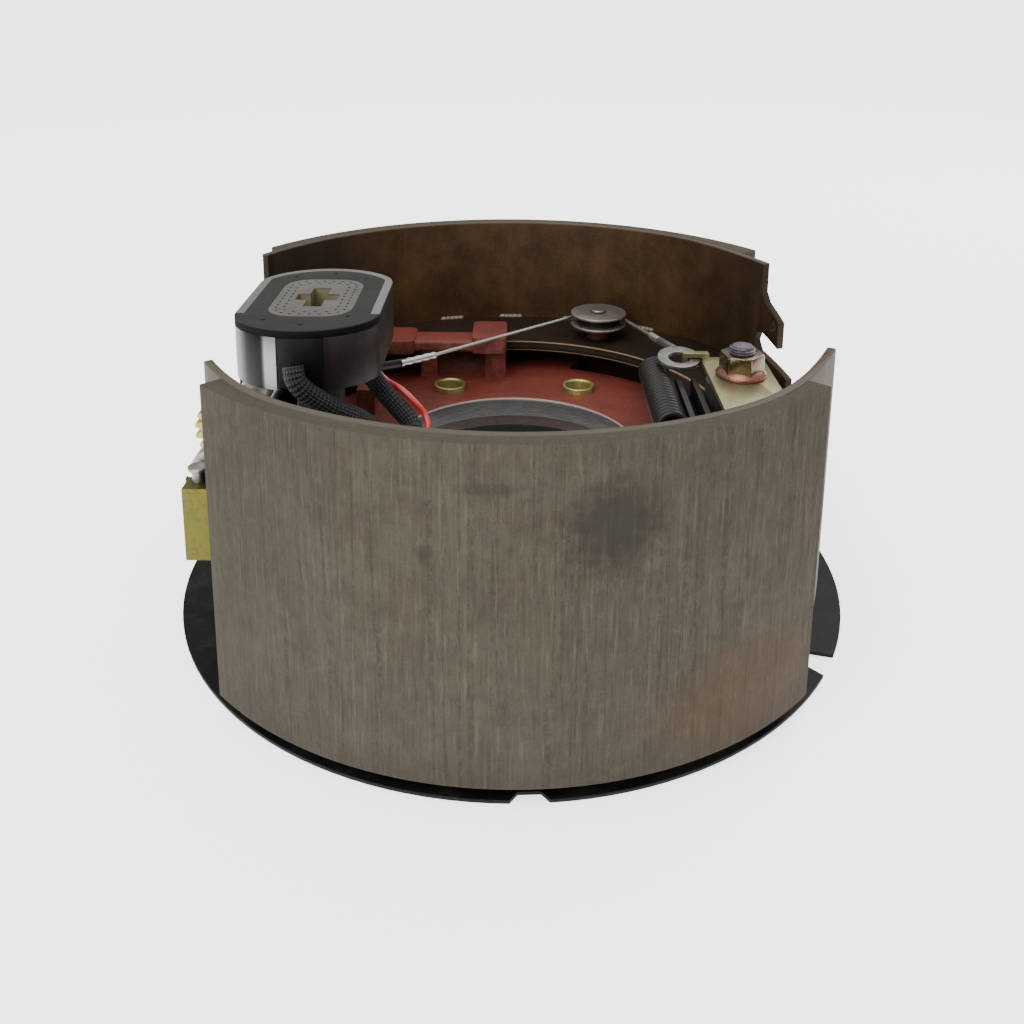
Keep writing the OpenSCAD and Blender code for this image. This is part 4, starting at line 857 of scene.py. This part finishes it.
# Pad in the middle: pale worn metal with a cross-shaped hole, and two rows of small
# dimples set round it.
pad = Finish("magnet_pad", metallic=0.2, specular=0.2)
pad_grain = pad.noise(800.0, 4.0, 0.6)
pad_wear = pad.noise(70.0, 4.0)
pad_grey = pad.mix(pad_wear, (0.062, 0.058, 0.053), (0.112, 0.105, 0.098))
pad_grey = pad.mix(pad.between(pad_grain, 0.55, 0.75) * 0.5, pad_grey, (0.20, 0.19, 0.178))
within = pad.between(pad.axis("Z"), magnet_top - 0.5, magnet_top - 1.2)
pad.colour(pad.mix(within, pad_grey, pad.mix(pad_wear, (0.085, 0.068, 0.032), (0.21, 0.18, 0.10))))
pad.rough(0.55 + pad_grain * 0.25)
pad.relief(pad_grain, 0.08)
eased("magnet_core", pad, 0.3, "magnet")
dimple = Finish("dimple", specular=0.1)
dimple_soil = dimple.noise(900.0)
dimple.colour(dimple.mix(dimple_soil, (0.007, 0.0065, 0.006), (0.020, 0.019, 0.018)))
dimple.rough(0.75 + dimple_soil * 0.15)
dimples = bmesh.new()
core_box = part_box("magnet_core")
core_x, core_y = (core_box[0][0] + core_box[1][0]) / 2, (core_box[0][1] + core_box[1][1]) / 2
core_hx, core_hy = (core_box[1][0] - core_box[0][0]) / 2 / mm, (core_box[1][1] - core_box[0][1]) / 2 / mm
for inset, count in ((3.2, 34), (6.6, 26)):
    hx, hy, corner = core_hx - inset, core_hy - inset, 12 - inset
    straight_x, straight_y, bend = 2 * (hx - corner), 2 * (hy - corner), math.pi / 2 * corner
    whole = 2 * (straight_x + straight_y) + 4 * bend
    for k in range(count):
        s = (whole * (k + 0.5) / count) % (whole / 2)
        flip = 1 if k < count / 2 else -1
        if s < straight_y:
            x, y, turn = hx, -straight_y / 2 + s, 0
        elif s < straight_y + bend:
            turn = (s - straight_y) / corner
            x, y = hx - corner + corner * math.cos(turn), straight_y / 2 + corner * math.sin(turn)
        elif s < straight_y + bend + straight_x:
            x, y, turn = straight_x / 2 - (s - straight_y - bend), hy, math.pi / 2
        else:
            turn = math.pi / 2 + (s - straight_y - bend - straight_x) / corner
            x, y = -hx + corner + corner * math.cos(turn), straight_y / 2 + corner * math.sin(turn)
        at = Vector((core_x + flip * x * mm, core_y + flip * y * mm, core_box[1][2] + 0.02 * mm))
        bmesh.ops.create_circle(dimples, cap_ends=True, segments=10, radius=1.0,
                                matrix=Matrix.Translation(at) @ Matrix.Rotation(turn, 4, "Z")
                                @ Matrix.Diagonal((0.5 * mm, 0.9 * mm, 1, 1)))
made(dimples, "pad_dimples", dimple, "magnet", sharp=0)

# Moulding: black resin that fills the magnet and shows through the case's open front.
resin = Finish("resin", specular=0.13)
flow = resin.noise(320.0, 4.0)
fog = resin.noise(50.0, 4.0)
resin.colour(resin.mix(fog, (0.0025, 0.0025, 0.003), (0.0075, 0.0072, 0.008)))
resin.rough(0.38 + flow * 0.25)
resin.relief(flow + fog, 0.2)
eased("magnet_moulding", resin, 0.5, "magnet")

# Winding: varnished copper wire inside the moulding, laid in fine level turns.
winding = Finish("winding", metallic=0.8)
turns_lie = winding.add("ShaderNodeMath", {"operation": "SINE"}, {0: winding.axis("Z") * 10.0})
varnish = winding.noise(400.0)
winding.colour(winding.mix(varnish, (0.15, 0.045, 0.022), (0.30, 0.11, 0.06)))
winding.rough(0.3 + varnish * 0.2)
winding.relief(turns_lie, 0.15)
eased("magnet_coil", winding, 0.4, "magnet")

# Clip and spring: a plated push-on clip that holds the magnet on its peg, and a
# conical spring washer under it.
eased("magnet_clip", zinc, 0.25, "arm")
eased("magnet_spring", spring_steel, 0.3, "arm")

# Leads: two black braided sleeves and one red insulated wire, from the magnet down to
# the clip on the ring. The braid's crossing strands catch the light in small flecks.
braid = Finish("braid", specular=0.3)
run_place = braid.add("ShaderNodeUVMap", {"uv_map": "run"})
round_it, along_it = (braid.add("ShaderNodeSeparateXYZ", None, {0: run_place}, name) for name in "XY")
rising = braid.add("ShaderNodeMath", {"operation": "SINE"}, {0: (round_it * 10 + along_it * 7) * (2 * math.pi)})
falling = braid.add("ShaderNodeMath", {"operation": "SINE"}, {0: (round_it * 10 - along_it * 7) * (2 * math.pi)})
fuzz = braid.noise(1800.0, 2.0)
crossing = rising * falling
knot = braid.between(crossing, 0.5, 0.95)
dark_braid = braid.mix(fuzz, (0.004, 0.004, 0.0045), (0.014, 0.0135, 0.014))
braid.colour(braid.mix(knot * (fuzz * 1.2), dark_braid, (0.10, 0.097, 0.10)))
braid.rough(0.5 + fuzz * 0.25)
braid.relief(crossing * 0.8 + fuzz * 0.2, 0.5)
for node, route in (
        ("lead_front", [(-90.5, -51, 120), (-89.2, -52.4, 114), (-84.2, -50.5, 107.5), (-76, -45, 99.5),
                        (-69, -37, 92.5), (-64.6, -30, 86), (-62.5, -27, 81.5)]),
        ("lead_rear", [(-66, -8, 106.6), (-66, -8, 102), (-62, -7, 94.5), (-54.5, -9.5, 86.5),
                       (-47.5, -13.5, 80), (-45.5, -18, 76), (-52, -22, 72.5)])):
    sleeve = bmesh.new()
    swept(sleeve, smooth_route(route, 1.6), 4.4, 36)
    made(sleeve, node + "_sleeve", braid, "magnet", node, sharp=0)
red = Finish("red_insulation", coat=0.3, specular=0.5)
red_soil = red.noise(120.0, 4.0)
red.colour(red.mix(red_soil, (0.36, 0.012, 0.015), (0.50, 0.030, 0.032)))
red.rough(0.3 + red_soil * 0.2)
wire = bmesh.new()
swept(wire, smooth_route([(-66, -1, 106.6), (-65, -1, 102), (-59.5, -1.5, 95), (-51.8, -5.5, 91.8),
                          (-45, -8.5, 86.5), (-40.5, -9.5, 81), (-39, -14, 76), (-43, -19, 72)], 1.2), 1.45, 20)
made(wire, "red_wire", red, "magnet", "lead_wire", sharp=0)

# Lead clip and cable: a moulded clip screwed to the ring, and the round rubber cable that
# goes on to the grommet in the dust shield.
rubber = Finish("rubber", specular=0.35)
bloom = rubber.noise(200.0, 4.0)
rubber.colour(rubber.mix(bloom, (0.005, 0.005, 0.0055), (0.018, 0.0175, 0.018)))
rubber.rough(0.6 + bloom * 0.2)
rubber.relief(bloom, 0.1)
eased("lead_clip", resin, 0.4, "backing")
eased("lead_clip_screw", bare, 0.4, "backing")
cable_low = 63.4
grommet = (-45.5, -93.2)
outer_cable = bmesh.new()
low_run = [(x, y, cable_low) for x, y in ((-57, -27), (-54, -34), (-50, -46), (-48, -60), (-46, -76))]
drop = [(*grommet, z) for z in (57, 52, 42.2)]
swept(outer_cable, smooth_route(low_run + [(-45.6, -86, cable_low - 0.3)] + drop, 1.5), 2.0, 18)
made(outer_cable, "outer_cable", rubber, "backing", "lead_cable", sharp=0)
eased("lead_grommet", rubber, 0.5, "backing", steps=3)

# A pale floor and soft light from large lamps.
floor_mesh = bmesh.new()
bmesh.ops.create_grid(floor_mesh, x_segments=1, y_segments=1, size=60,
                      matrix=Matrix.Translation((0, 0, -0.0002)))
floor_data = bpy.data.meshes.new("floor")
floor_mesh.to_mesh(floor_data)
floor_mesh.free()
floor = bpy.data.objects.new("floor", floor_data)
bpy.context.scene.collection.objects.link(floor)
pale = Finish("pale_floor", specular=0.1)
pale.colour((0.93, 0.93, 0.93))
pale.rough(0.95)
pale.surface.inputs["Emission Color"].default_value = (1, 1, 1, 1)
pale.surface.inputs["Emission Strength"].default_value = 1.7
floor_data.materials.append(pale.material)

world = bpy.data.worlds.new("studio")
bpy.context.scene.world = world
world.use_nodes = True
sky = world.node_tree.nodes["Background"]
sky.inputs["Color"].default_value = (1, 1, 1, 1)
towards = world.node_tree.nodes.new("ShaderNodeTexCoord")
height_of = world.node_tree.nodes.new("ShaderNodeSeparateXYZ")
brightness = world.node_tree.nodes.new("ShaderNodeMapRange")
for name, value in (("From Min", 0.0), ("From Max", 0.8), ("To Min", 0.45), ("To Max", 1.25)):
    brightness.inputs[name].default_value = value
world.node_tree.links.new(towards.outputs["Generated"], height_of.inputs[0])
world.node_tree.links.new(height_of.outputs["Z"], brightness.inputs["Value"])
world.node_tree.links.new(brightness.outputs[0], sky.inputs["Strength"])
sun = bpy.data.lights.new("daylight", "SUN")
sun.energy = 2.25
sun.angle = math.radians(50)
sun_object = bpy.data.objects.new("daylight", sun)
bpy.context.scene.collection.objects.link(sun_object)
sun_object.matrix_world = Vector((0.25, 0.45, -1)).to_track_quat("-Z", "Y").to_matrix().to_4x4()
for name, where, size, power in (("key", (-0.75, -1.15, 0.95), 0.9, 14), ("rim", (0.9, 1.0, 1.1), 0.8, 11)):
    lamp = bpy.data.lights.new(name, "AREA")
    lamp.size = size
    lamp.energy = power
    lamp_object = bpy.data.objects.new(name, lamp)
    bpy.context.scene.collection.objects.link(lamp_object)
    aim = Vector((0, 0, 0.06)) - Vector(where)
    aimed = aim.to_track_quat("-Z", "Y").to_matrix().to_4x4()
    lamp_object.matrix_world = Matrix.Translation(Vector(where)) @ aimed
